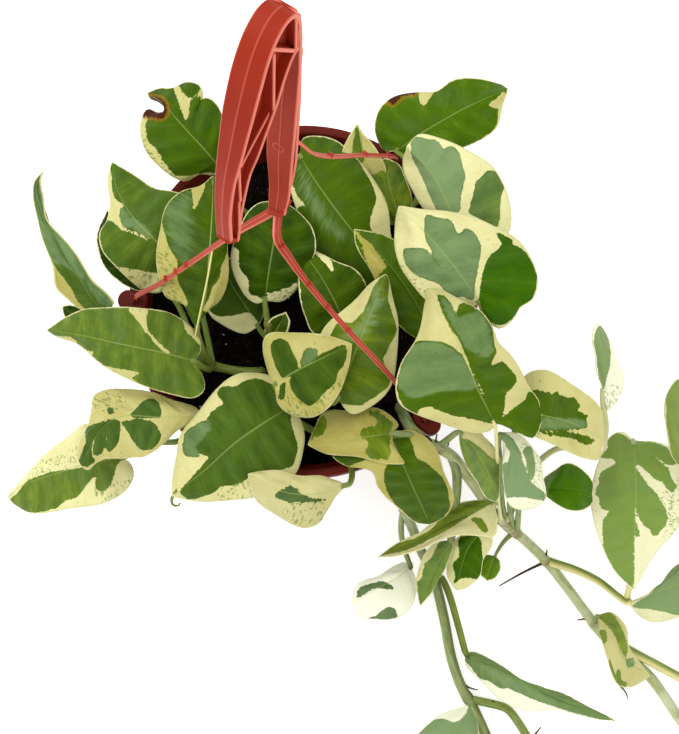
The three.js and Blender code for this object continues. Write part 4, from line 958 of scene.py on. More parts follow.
def grain_finish():
    grain = Finish("white_grain", mapped=False)
    fine = grain.noise(EVEN, 1500)
    colour = grain.mix(fine, tint(150, 142, 128), tint(214, 208, 196))
    grain.relief(fine, 0.0002, 0.6)
    return grain.surface(Base_Color=colour, Roughness=0.85, Specular_IOR_Level=0.2)


LEAF_TOP = leaf_finish("leaf_top", 0.0)
LEAF_UNDER = leaf_finish("leaf_underside", 0.35)
STALK = stalk_finish()
HANGER = moulded_finish("hanger_red_plastic", tint(140, 36, 16), tint(152, 48, 28), 900, 0.45)
STRAND = moulded_finish("strand_red_plastic", tint(152, 52, 36), tint(170, 68, 50), 900, 0.42)
POT = moulded_finish("pot_maroon_plastic", tint(88, 25, 15), tint(106, 37, 24), 700, 0.4)
PEAT = peat_finish()
GRAIN = grain_finish()


# Leaves

LONG_STEPS = 56
CROSS_STEPS = 32
BLADE = 0.7
VEIN_SWEEP = 1.5
# Millimetres that a pixel of the picture covers at the height of most leaves
PIXEL_MM = 0.48
FAR_OFF = 40
CLEAR_OF_FLOOR = 0.8
LEAF_SEED = 900
# Leaves shorter than this are less wavy
FULL_LENGTH = 60
# The channel along the rib and half its width; the pillows between side veins and how far from the
# rib they swell; then the waves of the margin, of each half, and of each half in finer ones
CHANNEL, CHANNEL_HALF = 0.5, 0.9
PILLOW, PILLOW_START = 0.2, 2.5
MARGIN_WAVE, MARGIN_WAVES = 1.1, 2.3
HALF_WAVE, HALF_WAVES = 0.7, 1.4
FINE_WAVE = 0.32
# How much a deep patch adds to freshness and tone, and how dense the specks are at a speck of 1
DEEP_FRESH, DEEP_TONE, SPECK_DENSITY = 0.9, 0.15, 0.25
# Soft grey patches: how steeply they fade, and how far they are drawn in
GREY_FADE, GREY_INSET = 0.3, 0.3
COLOUR_VALUES = ("tone", "grey_all", "cream_tone", "rib_tone", "feather", "bleached", "fresh")


def rib_height(rib, x, y):
    """The height of a leaf's rib beside the given pixel."""
    best, height = math.inf, rib[0][2]
    for (x0, y0, z0), (x1, y1, z1) in zip(rib, rib[1:]):
        span = (x1 - x0) ** 2 + (y1 - y0) ** 2
        share = min(1, max(0, ((x - x0) * (x1 - x0) + (y - y0) * (y1 - y0)) / span))
        away = math.hypot(x0 + share * (x1 - x0) - x, y0 + share * (y1 - y0) - y)
        if away < best:
            best, height = away, z0 + share * (z1 - z0)
    return height


def depth_inside(outline, pixels):
    """How far pixels are inside an outline, in millimetres; negative outside."""
    nearest = np.full(len(pixels), np.inf)
    inside = np.zeros(len(pixels), bool)
    for a, b in zip(outline, np.roll(outline, -1, axis=0)):
        side = b - a
        share = np.clip(((pixels - a) @ side) / (side @ side), 0, 1)
        nearest = np.minimum(nearest, np.linalg.norm(pixels - a - share[:, None] * side, axis=1))
        crosses = (a[1] > pixels[:, 1]) != (b[1] > pixels[:, 1])
        with np.errstate(divide="ignore", invalid="ignore"):
            left_of = pixels[:, 0] < (b[0] - a[0]) * (pixels[:, 1] - a[1]) / (b[1] - a[1]) + a[0]
        inside ^= crosses & left_of
    return np.where(inside, nearest, -nearest) * PIXEL_MM


def rounded(outline):
    """An outline whose corners are rounded, still through all its points."""
    p1 = np.array(outline, float)
    p0, p2, p3 = (np.roll(p1, shift, axis=0) for shift in (1, -1, -2))
    points = []
    for t in (0, 0.25, 0.5, 0.75):
        square = 2 * p0 - 5 * p1 + 4 * p2 - p3
        cube = 3 * p1 - p0 - 3 * p2 + p3
        points.append(p1 + 0.5 * ((p2 - p0) * t + square * t ** 2 + cube * t ** 3))
    return np.stack(points, axis=1).reshape(-1, 2)


def deepest(outlines, pixels):
    """How far pixels are inside the outlines, or far outside where there are none."""
    depth = np.full(len(pixels), -float(FAR_OFF))
    for outline in outlines:
        depth = np.maximum(depth, depth_inside(rounded(outline), pixels))
    return depth


def softly_inside(outlines, pixels):
    """1 well inside the outlines and 0 well outside, over a soft edge 2 mm wide."""
    return np.clip(deepest(outlines, pixels) / 2 + 0.5, 0, 1)


def variegation(leaf, pixels):
    """The values by which the leaf's finish finds its colours."""
    green = np.full(len(pixels), float(FAR_OFF if leaf["ground"] == "green" else -FAR_OFF))
    green = np.minimum(green, -deepest(leaf["cream"], pixels))
    grey = deepest(leaf["grey"], pixels)
    green = np.maximum(np.maximum(green, deepest(leaf["green"], pixels)), grey)
    if leaf["soft_grey"]:
        grey = GREY_FADE * grey - GREY_INSET
    deep = softly_inside(leaf["deep"], pixels)
    values = {key: np.full(len(pixels), leaf[key]) for key in COLOUR_VALUES}
    values["fresh"] = np.maximum(values["fresh"], DEEP_FRESH * deep)
    values["tone"] = values["tone"] + DEEP_TONE * deep
    values["grey_all"] = values["grey_all"] * (1 - deep)
    values["speck"] = np.maximum(SPECK_DENSITY * leaf["speck"], softly_inside(leaf["flecked"], pixels))
    return {**values, "green": green, "grey": grey, "burn": deepest(leaf["burn"], pixels)}


def leaf_piece(name, leaf, number):
    rib, arch = leaf["rib"], leaf["arch"]
    draw = random.Random(LEAF_SEED + number)
    spine = SmoothLine([sighted(point) for point in rib])
    base, tip = sighted(rib[0]), sighted(rib[-1])
    margins = []
    for key, lift in zip(("left", "right"), leaf["lift"]):
        edge = [sighted((x, y, rib_height(rib, x, y) + lift + sum(extra))) for x, y, *extra in leaf[key]]
        margins.append(SmoothLine([base, *edge, tip]))
    to_eye = unit(EYE - base)
    veins = spine.length / 10 / VEIN_GAP_CM
    small = min(1, spine.length / FULL_LENGTH)
    phases = [draw.random() for _ in range(4)]
    waves = [(draw.uniform(8, 22), draw.uniform(-9, 9), draw.uniform(0, 6)) for _ in range(6)]

    def blade(station, across):
        share = np.abs(across)
        on_rib = spine.at(station ** VEIN_SWEEP)
        on_edge = np.where((across < 0)[:, None], margins[0].at(station), margins[1].at(station))
        rise = arch * np.sin(math.pi * station) * np.sin(math.pi * share)
        return on_rib + (on_edge - on_rib) * share[:, None] + to_eye * rise[:, None], on_edge - on_rib

    def blade_normals(u, across, step=0.02):
        u, across = np.clip(u, step, 1 - step), np.clip(across, step - 1, 1 - step)
        normals = np.cross(
            blade(u + step, across)[0] - blade(u - step, across)[0],
            blade(u, across + step)[0] - blade(u, across - step)[0])
        normals /= np.maximum(np.linalg.norm(normals, axis=1), 1e-9)[:, None]
        return -normals if np.sum(normals @ to_eye) < 0 else normals

    def form(u, v):
        across = 2 * v - 1
        share = np.abs(across)
        places, reach = blade(u, across)
        width = np.linalg.norm(reach, axis=1)
        ends = np.sin(math.pi * np.clip(u, 0, 1))
        bulge = np.sin(math.pi * share)
        channel = -CHANNEL * np.exp(-(share * width / CHANNEL_HALF) ** 2) * np.sqrt(ends)
        hollow = 1 - np.exp(-(share * width / PILLOW_START) ** 2)
        pillows = PILLOW * np.sin(2 * math.pi * (u * veins - 0.25)) * hollow * (1 - share ** 4) * np.sqrt(ends)
        turns = 2 * math.pi * (MARGIN_WAVES * u + phases[0]) + np.sign(across)
        ripple = MARGIN_WAVE * small * share ** 3 * np.sin(turns)
        buckle = HALF_WAVE * small * np.sin(2 * math.pi * (HALF_WAVES * u + phases[1])) * bulge
        for pace, turn, phase in waves:
            buckle = buckle + FINE_WAVE * small * np.sin(pace * u + turn * across + phase) * bulge
        relief = channel + pillows + (ripple + buckle) * ends
        places = places + blade_normals(u, across) * relief[:, None]
        places[:, 2] = np.maximum(places[:, 2], CLEAR_OF_FLOOR)
        values = {**variegation(leaf, seen_at(places)), "margin": (1 - share) * width}
        pattern = np.column_stack([u * spine.length / 10 + 20 * number, across * (np.mean(width) / 10)])
        return places, pattern, values

    piece = formed_grid(name, LONG_STEPS, CROSS_STEPS, form)
    weld(piece)
    piece.data.materials.append(LEAF_TOP)
    piece.data.materials.append(LEAF_UNDER)
    turn_up(piece, to_eye)
    apply_modifier(piece, "SOLIDIFY", thickness=BLADE * MM, offset=0, material_offset=1, use_even_offset=False)
    smooth(piece)
    return piece


def turn_up(piece, direction):
    """Turns a sheet's faces so that most of them look along a direction."""
    normals = np.empty(len(piece.data.polygons) * 3)
    piece.data.polygons.foreach_get("normal", normals)
    if np.sum(normals.reshape(-1, 3) @ direction) < 0:
        edit_whole(piece, bpy.ops.mesh.flip_normals)


# Stems and petioles

PETIOLE_RADIUS = 1.3
ROUND_STEPS = 12
ROW_LENGTH = 2.2
KNOT_REACH = 7
KNOT_SWELLING, KNOT_LENGTH = 0.5, 2.0
# Half the angle that a petiole's channel takes up, and a brown line's place and width across a stalk
CHANNEL_ANGLE = 0.55
BROWN_PLACE, BROWN_WIDTH = 0.7, 0.22
# Radius of a petiole at the stem, as a multiple of that at the leaf, and of a stem's end to its start
PETIOLE_GROWTH = 1.35
STEM_TAPER = 0.85
# Radius of an aerial root at its start and end, and of a folded edge at its end
ROOT_RADII = (0.75, 0.3)
FOLD_END = 0.35
# The side of a stalk that can be pale: downwards in the picture, and a little to the left
LOWER_SIDE = np.array([-0.35, -0.94, 0])
# Bloom is given at the start and at the end
LOOK = {"bloom": (0.25, 0.25), "brown": 0.05, "root": 0.0, "channel": 0.0, "pale_side": 0.0, "brown_line": 0}
ROOT_LOOK = {"bloom": (0, 0), "root": 1.0}
# Radius at the start and at the end, and what sets a stalk's look apart
STALK_LOOKS = {
    ("trailing_vine_right", 0): (2.7, 3.0, {"bloom": (0.4, 1.0), "pale_side": 0.25}),
    ("trailing_vine_right", 1): (2.6, 2.6, {"bloom": (0.1, 0.1), "pale_side": 1.0}),
    ("trailing_vine_right", 2): (2.4, 2.2, {"brown_line": 1}),
    ("trailing_vine_right", 3): (0.95, 0.35, ROOT_LOOK),
    ("trailing_vine_front", 0): (2.6, 3.1, {"bloom": (0.8, 0.2), "brown_line": 1}),
    ("trailing_vine_front", 1): (2.4, 2.4, {"bloom": (0.1, 0.1)}),
    "outer": (1.9, 2.7, {"bloom": (0, 0), "pale_side": 1.0}),
    "reaching": (2.1, 2.3, {"bloom": (0, 0), "brown_line": -1}),
    "cream": (1.5, 1.9, {"brown_line": 1}),
    "top": (0.8, 1.1, {"bloom": (1, 1), "pale_side": 0.9}),
    "curled_over": (1.4, 1.7, {"brown_line": 1}),
    "oval": (0.9, 1.6, {"brown_line": 1}),
    "fingered": (1.5, 2.0, {"bloom": (1, 1), "pale_side": 2.0}),
    "slender": (1.5, 1.8, {"bloom": (1, 1), "pale_side": 0.5}),
}
# Edges of blades that are rolled or folded into a thin line: radius, paleness and line
FOLDED_EDGES = {
    "trailing_vine_right": (1.1, 0, "601,630,15 606,650,22 612,669,24 618,683,22 624,691,15"),
    "leafy_stem_left": (0.5, 2, "213,247,173 209,270,172 204,295,168 198,322,162 195,338,156"),
    "leafy_stem_front": (1.1, 0, "178,490,138 172,498,134 173,505,130 178,506,129 180,503,131"),
}
# Short aerial roots at the nodes
ROOTS = {
    "trailing_vine_right": """
        509,530,33 511,525,36 513,521,37; 546,557,10 547,550,14; 591,618,6 584,619,4 577,620,3;
        622,688,10 626,693,5 628,699,3; 432,443,138 428,437,141 421,436,142;
        440,450,134 436,441,138 437,434,140; 452,455,127 447,449,126 449,443,128""",
    "trailing_vine_front": """
        461,680,6 468,687,4 478,690,3; 500,709,5 496,704,5 492,700,6; 533,737,5 541,727,7""",
}


def stalk_piece(name, route, start_radius, end_radius, knots=(), **look):
    """A closed stalk along a route, with a swelling at each knot, given as a place."""
    look = {**LOOK, **look}
    line = SmoothLine(route)
    rows = max(10, int(line.length / ROW_LENGTH))
    shares_near = np.linspace(0, 1, 200)
    swellings = []
    for knot in knots:
        away = np.linalg.norm(line.at(shares_near) - knot, axis=1)
        if away.min() < KNOT_REACH:
            swellings.append(shares_near[np.argmin(away)])

    def form(u, v):
        ring = np.rint(u * rows).astype(int)
        shares = np.clip((ring - 1) / (rows - 2), 0, 1)
        at_rows = line.at(np.linspace(0, 1, rows - 1))
        at_rows[:, 2] = np.maximum(at_rows[:, 2], max(start_radius, end_radius) + CLEAR_OF_FLOOR)
        sides, ups = rings_frame(at_rows)
        index = np.clip(ring - 1, 0, rows - 2)
        angle = 2 * math.pi * v
        near_knot = np.zeros(len(u))
        for swelling in swellings:
            near_knot = np.maximum(near_knot, np.exp(-((shares - swelling) * line.length / KNOT_LENGTH) ** 2))
        radius = start_radius + (end_radius - start_radius) * shares + KNOT_SWELLING * near_knot
        radius = radius * (1 - look["channel"] * np.exp(-((angle - math.pi) / CHANNEL_ANGLE) ** 2))
        radius = np.where((ring == 0) | (ring == rows), 0, radius)
        facing = sides[index] * np.cos(angle)[:, None] + ups[index] * np.sin(angle)[:, None]
        values = {
            "bloom": look["bloom"][0] + (look["bloom"][1] - look["bloom"][0]) * shares,
            "pale_side": look["pale_side"] * np.clip(0.4 + 2.2 * facing @ LOWER_SIDE, 0, 1),
            "brown": np.clip(look["brown"] + 0.7 * near_knot, 0, 1),
            "root": np.full(len(u), look["root"]),
        }
        if look["brown_line"]:
            aside = facing[:, 0] * look["brown_line"] - BROWN_PLACE
            on_line = np.exp(-(aside / BROWN_WIDTH) ** 2) * (facing[:, 2] > 0)
            values["root"] = np.maximum(values["root"], 0.8 * on_line)
        return at_rows[index] + radius[:, None] * facing, np.column_stack([shares * line.length / 10, v]), values

    piece = formed_grid(name, rows, ROUND_STEPS, form)
    weld(piece)
    piece.data.materials.append(STALK)
    smooth(piece)
    return piece


def petiole_route(leaf):
    """From just inside the blade, round its base, to the stem."""
    base, following = sighted(leaf["rib"][0]), sighted(leaf["rib"][1])
    return [base + 0.12 * (following - base), base - 0.4 * UP, *(sighted(point) for point in leaf["petiole"])]


def stalk_route(line, root):
    route = [sighted(point) for point in line]
    if root:
        x, y, _ = sighted((*root, SOIL_HEIGHT))
        heights = (SOIL_HEIGHT - STEM_ROOT_DEPTH + 1, SOIL_HEIGHT - 2, SOIL_HEIGHT + 5)
        route = [np.array([x, y, z]) for z in heights] + route
    return route


def make_stem(node, plan, leaf_numbers):
    short = node.replace("leafy_stem_", "").replace("trailing_vine_", "vine_")
    bloom = (0.25, 0.25) if "vine" in node else (0.05, 0.05)
    knots = [sighted(leaf["petiole"][-1]) for leaf in plan["leaves"].values()]
    stalks = []
    for number, (line, radius) in enumerate(plan["stalks"]):
        start, end, look = STALK_LOOKS.get((node, number), (radius, radius * STEM_TAPER, {}))
        route = stalk_route(line, None if number else plan["root"])
        stalks.append(stalk_piece(f"stalk_{number}", route, start, end, knots, **{"bloom": bloom, **look}))
    for root in lines(ROOTS.get(node, "")):
        stalks.append(stalk_piece("root", [sighted(point) for point in root], *ROOT_RADII, **ROOT_LOOK))
    for name, leaf in plan["leaves"].items():
        at_leaf, at_stem, look = STALK_LOOKS.get(name, (PETIOLE_RADIUS, PETIOLE_RADIUS * PETIOLE_GROWTH, {}))
        look = {"bloom": bloom, "channel": 0.2, **look}
        stalks.append(stalk_piece("petiole", petiole_route(leaf), at_leaf, at_stem, **look))
    if node in FOLDED_EDGES:
        radius, paleness, text = FOLDED_EDGES[node]
        route = [sighted(point) for point in lines(text)[0]]
        stalks.append(stalk_piece("folded_edge", route, radius, FOLD_END, bloom=(0, 0), pale_side=paleness))
    finish_piece(joined(f"stalks_{short}", stalks), node)
    for name, leaf in plan["leaves"].items():
        finish_piece(leaf_piece(f"leaf_{short}_{name}", leaf, next(leaf_numbers)), node)


def make_plant():
    leaf_numbers = itertools.count(1)
    for node, plan in STEMS.items():
        make_stem(node, plan, leaf_numbers)


make_plant()


# The hanger: one moulding of a webbed hook and three barbed strands

HOOK_FOOT = np.array([-5.0, 0, 263])
HOOK_TURN = math.radians(32)
HOOK_FORWARD = np.array([-math.sin(HOOK_TURN), -math.cos(HOOK_TURN), 0])
HOOK_ACROSS = np.array([math.cos(HOOK_TURN), -math.sin(HOOK_TURN), 0])
FLANGE = 1.5
FLANGE_ROWS = 150
WEB = 1.8
WEB_INSET = 0.04
RIB = 1.15
RIB_INSET = 0.25
MOULDED_EDGE = 32
# The foot is cut square to the viewer's side, while the shank above it is turned
FOOT_SLANT, FOOT_REACH = 1.1, 9
# Places of the two flanges in the hook's own plane, as reach forward and height above the foot,
# the hook's width there and how far it sits aside: up the shank, over the crown, down to the tip.
HOOK_SECTIONS = np.array([
    (-5.4, 15, 0, 0, 7.2, 0), (-6.9, 20, -3.5, 14, 8.0, 0), (-8.2, 26.5, -5, 26.5, 8.8, 0),
    (-10, 36, -6, 36, 9.4, 0), (-12.2, 53, -8.8, 53, 9.6, 0), (-15.2, 74, -12.6, 74, 9.4, 0),
    (-17.6, 91, -16.2, 90, 8.2, 0), (-19.3, 103, -17.4, 94.6, 7.4, 0), (-18.8, 110.5, -16.6, 96.6, 7.6, -0.1),
    (-16.4, 115.2, -14.6, 96.4, 8.0, -0.2), (-12, 117, -12.6, 95, 8.3, -0.3), (-6.6, 115.4, -10, 92.6, 8.6, -0.3),
    (-2.5, 112, -7.4, 90, 8.9, -0.2), (1.5, 107.2, -4.4, 87, 9.2, 0), (7.3, 97, 0, 81.5, 9.0, 0),
    (13.6, 83, 5.6, 71.5, 7.6, -0.1), (17.8, 72, 9.4, 64.5, 6.4, -0.4), (22.6, 55.5, 16.2, 48, 5.4, -0.3),
    (25.4, 41, 21.4, 33.6, 5.5, 0.1),
])
CROWN_START = 8
HOOK_RIBS = (
    ((-6, 114), (-16, 97)), ((-17.6, 114.4), (-16, 97)), ((-18.8, 110.5), (-17.2, 95.5)),
    ((-6, 112.5), (-2.7, 86)), ((-2.7, 86), (13.6, 79.4)), ((13.6, 79.4), (16.6, 58)), ((16.6, 58), (20.6, 36)),
    ((-14, 66), (-11.4, 66)), ((-9, 34), (-6, 34)),
)
BAR_OUTLINE = np.array([
    # Share of the half width, inset from the side, depth share, rise of a centre line, and painted edge highlight:
    # how much paler the thin edges and the centre line are drawn
    (-1, 0.5, 0, 0, 0), (0, -0.34, 0, 0, 0), (0, -0.14, 0, 1, 0.3), (0, 0.14, 0, 1, 0.3), (0, 0.34, 0, 0, 0),
    (1, -0.5, 0, 0, 0), (1, -0.22, 0, 0, 0.55), (1, 0, 0.2, 0, 1), (1, 0, 0.8, 0, 1), (1, -0.22, 1, 0, 0.55),
    (1, -0.5, 1, 0, 0), (-1, 0.5, 1, 0, 0), (-1, 0.22, 1, 0, 0.55), (-1, 0, 0.8, 0, 1), (-1, 0, 0.2, 0, 1),
    (-1, 0.22, 0, 0, 0.55),
])


def in_hook(forward, height, across=0.0):
    """Places in the hook's own plane, or beside it, as places in the frame."""
    shape = np.broadcast(forward, height, across).shape
    forward, height, across = (
        np.broadcast_to(np.asarray(value, float), shape)[..., None] for value in (forward, height, across))
    return HOOK_FOOT + forward * HOOK_FORWARD + across * HOOK_ACROSS + height * UP


def back_line():
    return SmoothLine(in_hook(HOOK_SECTIONS[:, 0], HOOK_SECTIONS[:, 1], HOOK_SECTIONS[:, 5]))


def mouth_line(order=1):
    rows = HOOK_SECTIONS[::order]
    return SmoothLine(in_hook(rows[:, 2], rows[:, 3], rows[:, 5]))


def bar(name, line, sideways, halves, thickness, rows, ridge=0.0, middle=1.0, detail=1.0):
    """A flat moulded bar along a line, which lies on its outer face; halves are half its width from
    start to end, ridge the height of the line along its middle and middle the strength of the painted
    highlight on that line, and detail how far the outline's insets reach. Its thin edges carry a painted highlight
    too."""
    shares = np.linspace(0, 1, rows - 1)
    at_rows = line.raw(shares)
    tangents = row_tangents(at_rows)
    sides = sideways - tangents * np.sum(sideways * tangents, axis=1)[:, None]
    sides /= np.linalg.norm(sides, axis=1)[:, None]
    inwards = np.cross(tangents, sides)
    half_widths = np.interp(shares, np.linspace(0, 1, len(halves)), halves)

    def form(u, v):
        ring = np.rint(u * rows).astype(int)
        index = np.clip(ring - 1, 0, rows - 2)
        corner = np.rint(v * len(BAR_OUTLINE)).astype(int) % len(BAR_OUTLINE)
        signs, insets, depths, rises, edges = BAR_OUTLINE[corner].T
        ends = (ring == 0) | (ring == rows)
        across = np.where(ends, 0, signs * half_widths[index] + insets * detail)
        inward = np.where(ends, thickness / 2, depths * thickness - rises * ridge)
        places = at_rows[index] + sides[index] * across[:, None] + inwards[index] * inward[:, None]
        pattern = np.column_stack([shares[index] * line.length / 10, v])
        # The edge value marks the painted highlight on the thin edges and the centre line
        return places, pattern, {"edge": np.where(rises > 0, edges * middle, edges)}

    piece = formed_grid(name, rows, len(BAR_OUTLINE), form)
    weld(piece)
    return piece


def small_block(name, place, size, turn, bevel):
    """A small block with rounded edges; the columns of turn are its three directions."""
    deselect()
    bpy.ops.mesh.primitive_cube_add(size=1, location=(0, 0, 0))
    block = bpy.context.object
    block.name = name
    block.scale = tuple(np.array(size) * MM)
    settle(block)
    edit_whole(block, bpy.ops.mesh.bevel, offset=bevel * MM, segments=2, affect="EDGES")
    set_in_place(block, turn, place)
    return block


def hook_web():
    """The thin wall between the two flanges, kept inside them."""
    back, mouth = back_line(), mouth_line()

    def form(u, v):
        share = (WEB_INSET + (1 - 2 * WEB_INSET) * v)[:, None]
        return back.raw(u) * (1 - share) + mouth.raw(u) * share, np.column_stack([u, v]), {}

    web = formed_grid("web", 120, 6, form)
    apply_modifier(web, "SOLIDIFY", thickness=WEB * MM, offset=0)
    return web


def hook_rib(start, end):
    """A rib that stands on the web and is nearly as wide as the hook."""
    (x0, z0), (x1, z1) = start, end
    middle = ((x0 + x1) / 2, (z0 + z1) / 2)
    # Only a rib low on the shank takes its width from the shank, which comes near the crown
    first = 0 if middle[0] < -12 and middle[1] < 90 else CROWN_START
    nearest = first + np.argmin(np.linalg.norm(HOOK_SECTIONS[first:, :2] - middle, axis=1))
    along = ((x1 - x0) * HOOK_FORWARD + (z1 - z0) * UP) / math.hypot(x1 - x0, z1 - z0)
    half = HOOK_SECTIONS[nearest, 4] / 2 - RIB_INSET
    route = np.array([in_hook(x0, z0), in_hook(*middle), in_hook(x1, z1)])
    line = SmoothLine(route - np.cross(along, HOOK_ACROSS) * RIB / 2)
    return bar("rib", line, HOOK_ACROSS, [half, half], RIB, 12)


def make_hook():
    halves = HOOK_SECTIONS[:, 4] / 2
    slope = unit(in_hook(25.2, 40.3) - in_hook(21.6, 33))
    upright = np.column_stack([HOOK_FORWARD, HOOK_ACROSS, UP])
    sloping = np.column_stack([slope, HOOK_ACROSS, np.cross(slope, HOOK_ACROSS)])
    hook = joined("hook_and_shank", [
        hook_web(),
        bar("back_flange", back_line(), -HOOK_ACROSS, halves, FLANGE, FLANGE_ROWS, ridge=0.07),
        bar("mouth_flange", mouth_line(-1), -HOOK_ACROSS, halves[::-1], FLANGE, FLANGE_ROWS, ridge=0.22),
        *(hook_rib(*rib) for rib in HOOK_RIBS),
        small_block("sole", in_hook(-2.8, 1.2), (7.2, 6.8, 2.4), upright, 0.4),
        small_block("tip", in_hook(23.5, 37), (8.2, 5.2, 1.8), sloping, 0.5),
    ])
    places = mesh_places(hook)
    across = (places - HOOK_FOOT) @ HOOK_ACROSS
    places[:, 2] += FOOT_SLANT * across * np.clip(1 - (places[:, 2] - HOOK_FOOT[2]) / FOOT_REACH, 0, 1)
    set_places(hook, places)
    coat_and_finish(hook, HANGER, MOULDED_EDGE, "hanger_hook")


def round_mark(name, height, forward, across, radius):
    """The faint raised ring that an ejector pin leaves on the shank's inner face."""
    facing = unit(np.cross(in_hook(-8.8, 53) - in_hook(-6, 36), HOOK_ACROSS))
    facing = facing if facing @ HOOK_FORWARD > 0 else -facing
    place = in_hook(forward, height, across) + 0.05 * facing
    deselect()
    bpy.ops.mesh.primitive_torus_add(
        major_radius=radius * MM, minor_radius=0.3 * MM, major_segments=32, minor_segments=8)
    ring = bpy.context.object
    ring.name = ring.data.name = name
    turn = Vector(facing).to_track_quat("Z", "Y").to_matrix().to_4x4()
    ring.matrix_world = Matrix.Translation(Vector(place * MM)) @ turn
    # The ring is drawn a little paler, a painted highlight on its raised edge
    add_attribute(ring, "edge", np.full(len(ring.data.vertices), 0.35))
    coat_and_finish(ring, HANGER, None, "hanger_hook")


make_hook()
round_mark("mark_shank", 45.3, -7.5, -0.3, 1.9)
round_mark("mark_shank_low", 15, -4.2, 1.3, 0.5)


# The strands: where each starts under the foot, the line it takes, its barbs, and its lug's angle

RIM_RADIUS = 85
LUG_TOP = 131.5
SOCKET_RADIUS = 81.5
SOCKET_DEPTH = 5.5
STRAND_THICKNESS = 1.3
STRAND_HALVES = (1.75, 1.7, 1.5, 1.2, 1.1, 1.1, 1.1, 1.1, 1.1, 1.1, 1.15, 1.3)
BARB_SIZE = (2.7, 0.7, 2.2)
# How far the pot's mouth is drawn back: in the middle, and growing with the distance away and its square
MOUTH_SHIFT = (1.3, 3.6, 2.3)
STRANDS = {
    "left": ((-4.9, -1.6), "243,227,240 219,242,219 180,269,180 156,285,156", "186,264 176,271 166,278", 180),
    "front": (
        (-0.9, 0.6),
        "278.5,224,257 278,236,250 280,243.5,246 285,251,242 307,282,224 348,330,200 376,360,184 394,380,170",
        "283,245 309,284 328,307 348,330", -44.2),
    "back": (
        (-3.6, 0.4),
        "285,185,247 292,158,241 297,141,234 303,144,225 312,151,213 328,155,196 365,154,162 388,155,146",
        "330,155 365,154 388,155", 55.4),
}


def around(degrees, radius, height):
    angle = math.radians(degrees)
    return np.array([radius * math.cos(angle), radius * math.sin(angle), height])


def drawn_back(places):
    """Where the soft pot's wall stands: its mouth is slightly oval, drawn towards the back."""
    places = np.array(places, float)
    away = places[..., 1] / RIM_RADIUS
    even, slope, bend = MOUTH_SHIFT
    places[..., 1] += (even + slope * away + bend * away ** 2) * places[..., 2] / POT_HEIGHT
    return places


def barb(line, seen, shares, pixel, side):
    """A low block across a strand, where the strand is seen at the pixel."""
    share = shares[np.argmin(np.linalg.norm(seen - pixel, axis=1))]
    place, ahead = line.at([share, share + 0.01])
    along = unit(ahead - place)
    across = unit(side - along * (side @ along))
    outward = np.cross(across, along)
    outward = outward if outward[2] > 0 else -outward
    turn = np.column_stack([across, np.cross(outward, across), outward])
    return small_block("barb", place + outward * 0.2, BARB_SIZE, turn, 0.2)


def make_strand(name, start, line_text, barb_text, degrees):
    side = around(degrees + 90, 1, 0)
    begin = in_hook(start[0], -0.5, start[1])
    # The last points, as how far in and how high over the lug, go down into its socket
    ends = ((1, 6), (0, -1), (0, 0.4 - SOCKET_DEPTH))
    line = SmoothLine([
        begin, begin - 3.5 * UP, *(sighted(point) for point in lines(line_text)[0]),
        *(drawn_back(around(degrees, SOCKET_RADIUS - inward, LUG_TOP + height)) for inward, height in ends)])
    # A line with even steps, so that the bar's rows and widths are even along it
    even = SmoothLine(line.at(np.linspace(0, 1, 60)))
    shares = np.linspace(0, 0.99, 400)
    seen = seen_at(line.at(shares))
    whole = joined(f"strand_{name}", [
        # The strand's centre line carries a stronger painted highlight
        bar("strand", even, -side, STRAND_HALVES, STRAND_THICKNESS, 110, ridge=0.15, middle=2.6, detail=0.55),
        *(barb(line, seen, shares, pixel, side) for pixel in lines(barb_text)[0])])
    coat_and_finish(whole, STRAND, MOULDED_EDGE, f"hanger_strand_{name}")


for strand_name, strand_plan in STRANDS.items():
    make_strand(strand_name, *strand_plan)


# The pot, a thin turned wall with a rolled rim, lugs for the strands and drain holes

BAND = 120
WALL_TOP = 80.5
BASE_RADIUS = 57
POT_WALL = 1.9
POT_FLOOR = 2.6
DRAIN_CIRCLE, DRAIN_RADIUS = 40, 4
LUG_HALF = 4.9
LUG_DEPTH = 10.5
LUG_INWARD = 5.2
LUG_OUTSIDE = 90
LUG_BEVEL = 1.1
SOCKET_SIZE = (2.4, 4.2, 2 * SOCKET_DEPTH)
STEP_RISE, STEP_IN = 1.2, 0.35
# Faint steps run round the wall at these heights
STEPS = (4, 30, 60, 90, 112)
RIM_PROFILE = [
    (WALL_TOP - 0.2, BAND - 1.5), (WALL_TOP, BAND - 0.2), (RIM_RADIUS - 1.2, BAND + 0.2),
    (RIM_RADIUS - 0.3, BAND + 0.8), (RIM_RADIUS, BAND + 1.8), (RIM_RADIUS, BAND + 5),
    (RIM_RADIUS, POT_HEIGHT - 1.4), (RIM_RADIUS - 0.4, POT_HEIGHT - 0.5), (RIM_RADIUS - 1.3, POT_HEIGHT),
    (WALL_TOP + 1.4, POT_HEIGHT), (WALL_TOP + 0.3, POT_HEIGHT - 0.6), (WALL_TOP - 0.4, POT_HEIGHT - 2),
]


def wall_radius(height):
    return BASE_RADIUS + (WALL_TOP - BASE_RADIUS) * height / BAND


def turned(name, profile, rounds):
    """A profile of radius and height turned about the upright axis; its ends lie on the axis."""
    profile = np.array(profile, float)

    def form(u, v):
        radius, height = profile[np.rint(u * (len(profile) - 1)).astype(int)].T
        angle = 2 * math.pi * v
        places = np.column_stack([radius * np.cos(angle), radius * np.sin(angle), height])
        return places, np.column_stack([v, u]), {}

    piece = formed_grid(name, len(profile) - 1, rounds, form)
    weld(piece)
    return piece


def cut(piece, tools):
    for tool in tools:
        apply_modifier(piece, "BOOLEAN", object=tool, operation="DIFFERENCE", solver="EXACT")
    deselect()
    for tool in tools:
        tool.select_set(True)
    bpy.ops.object.delete()


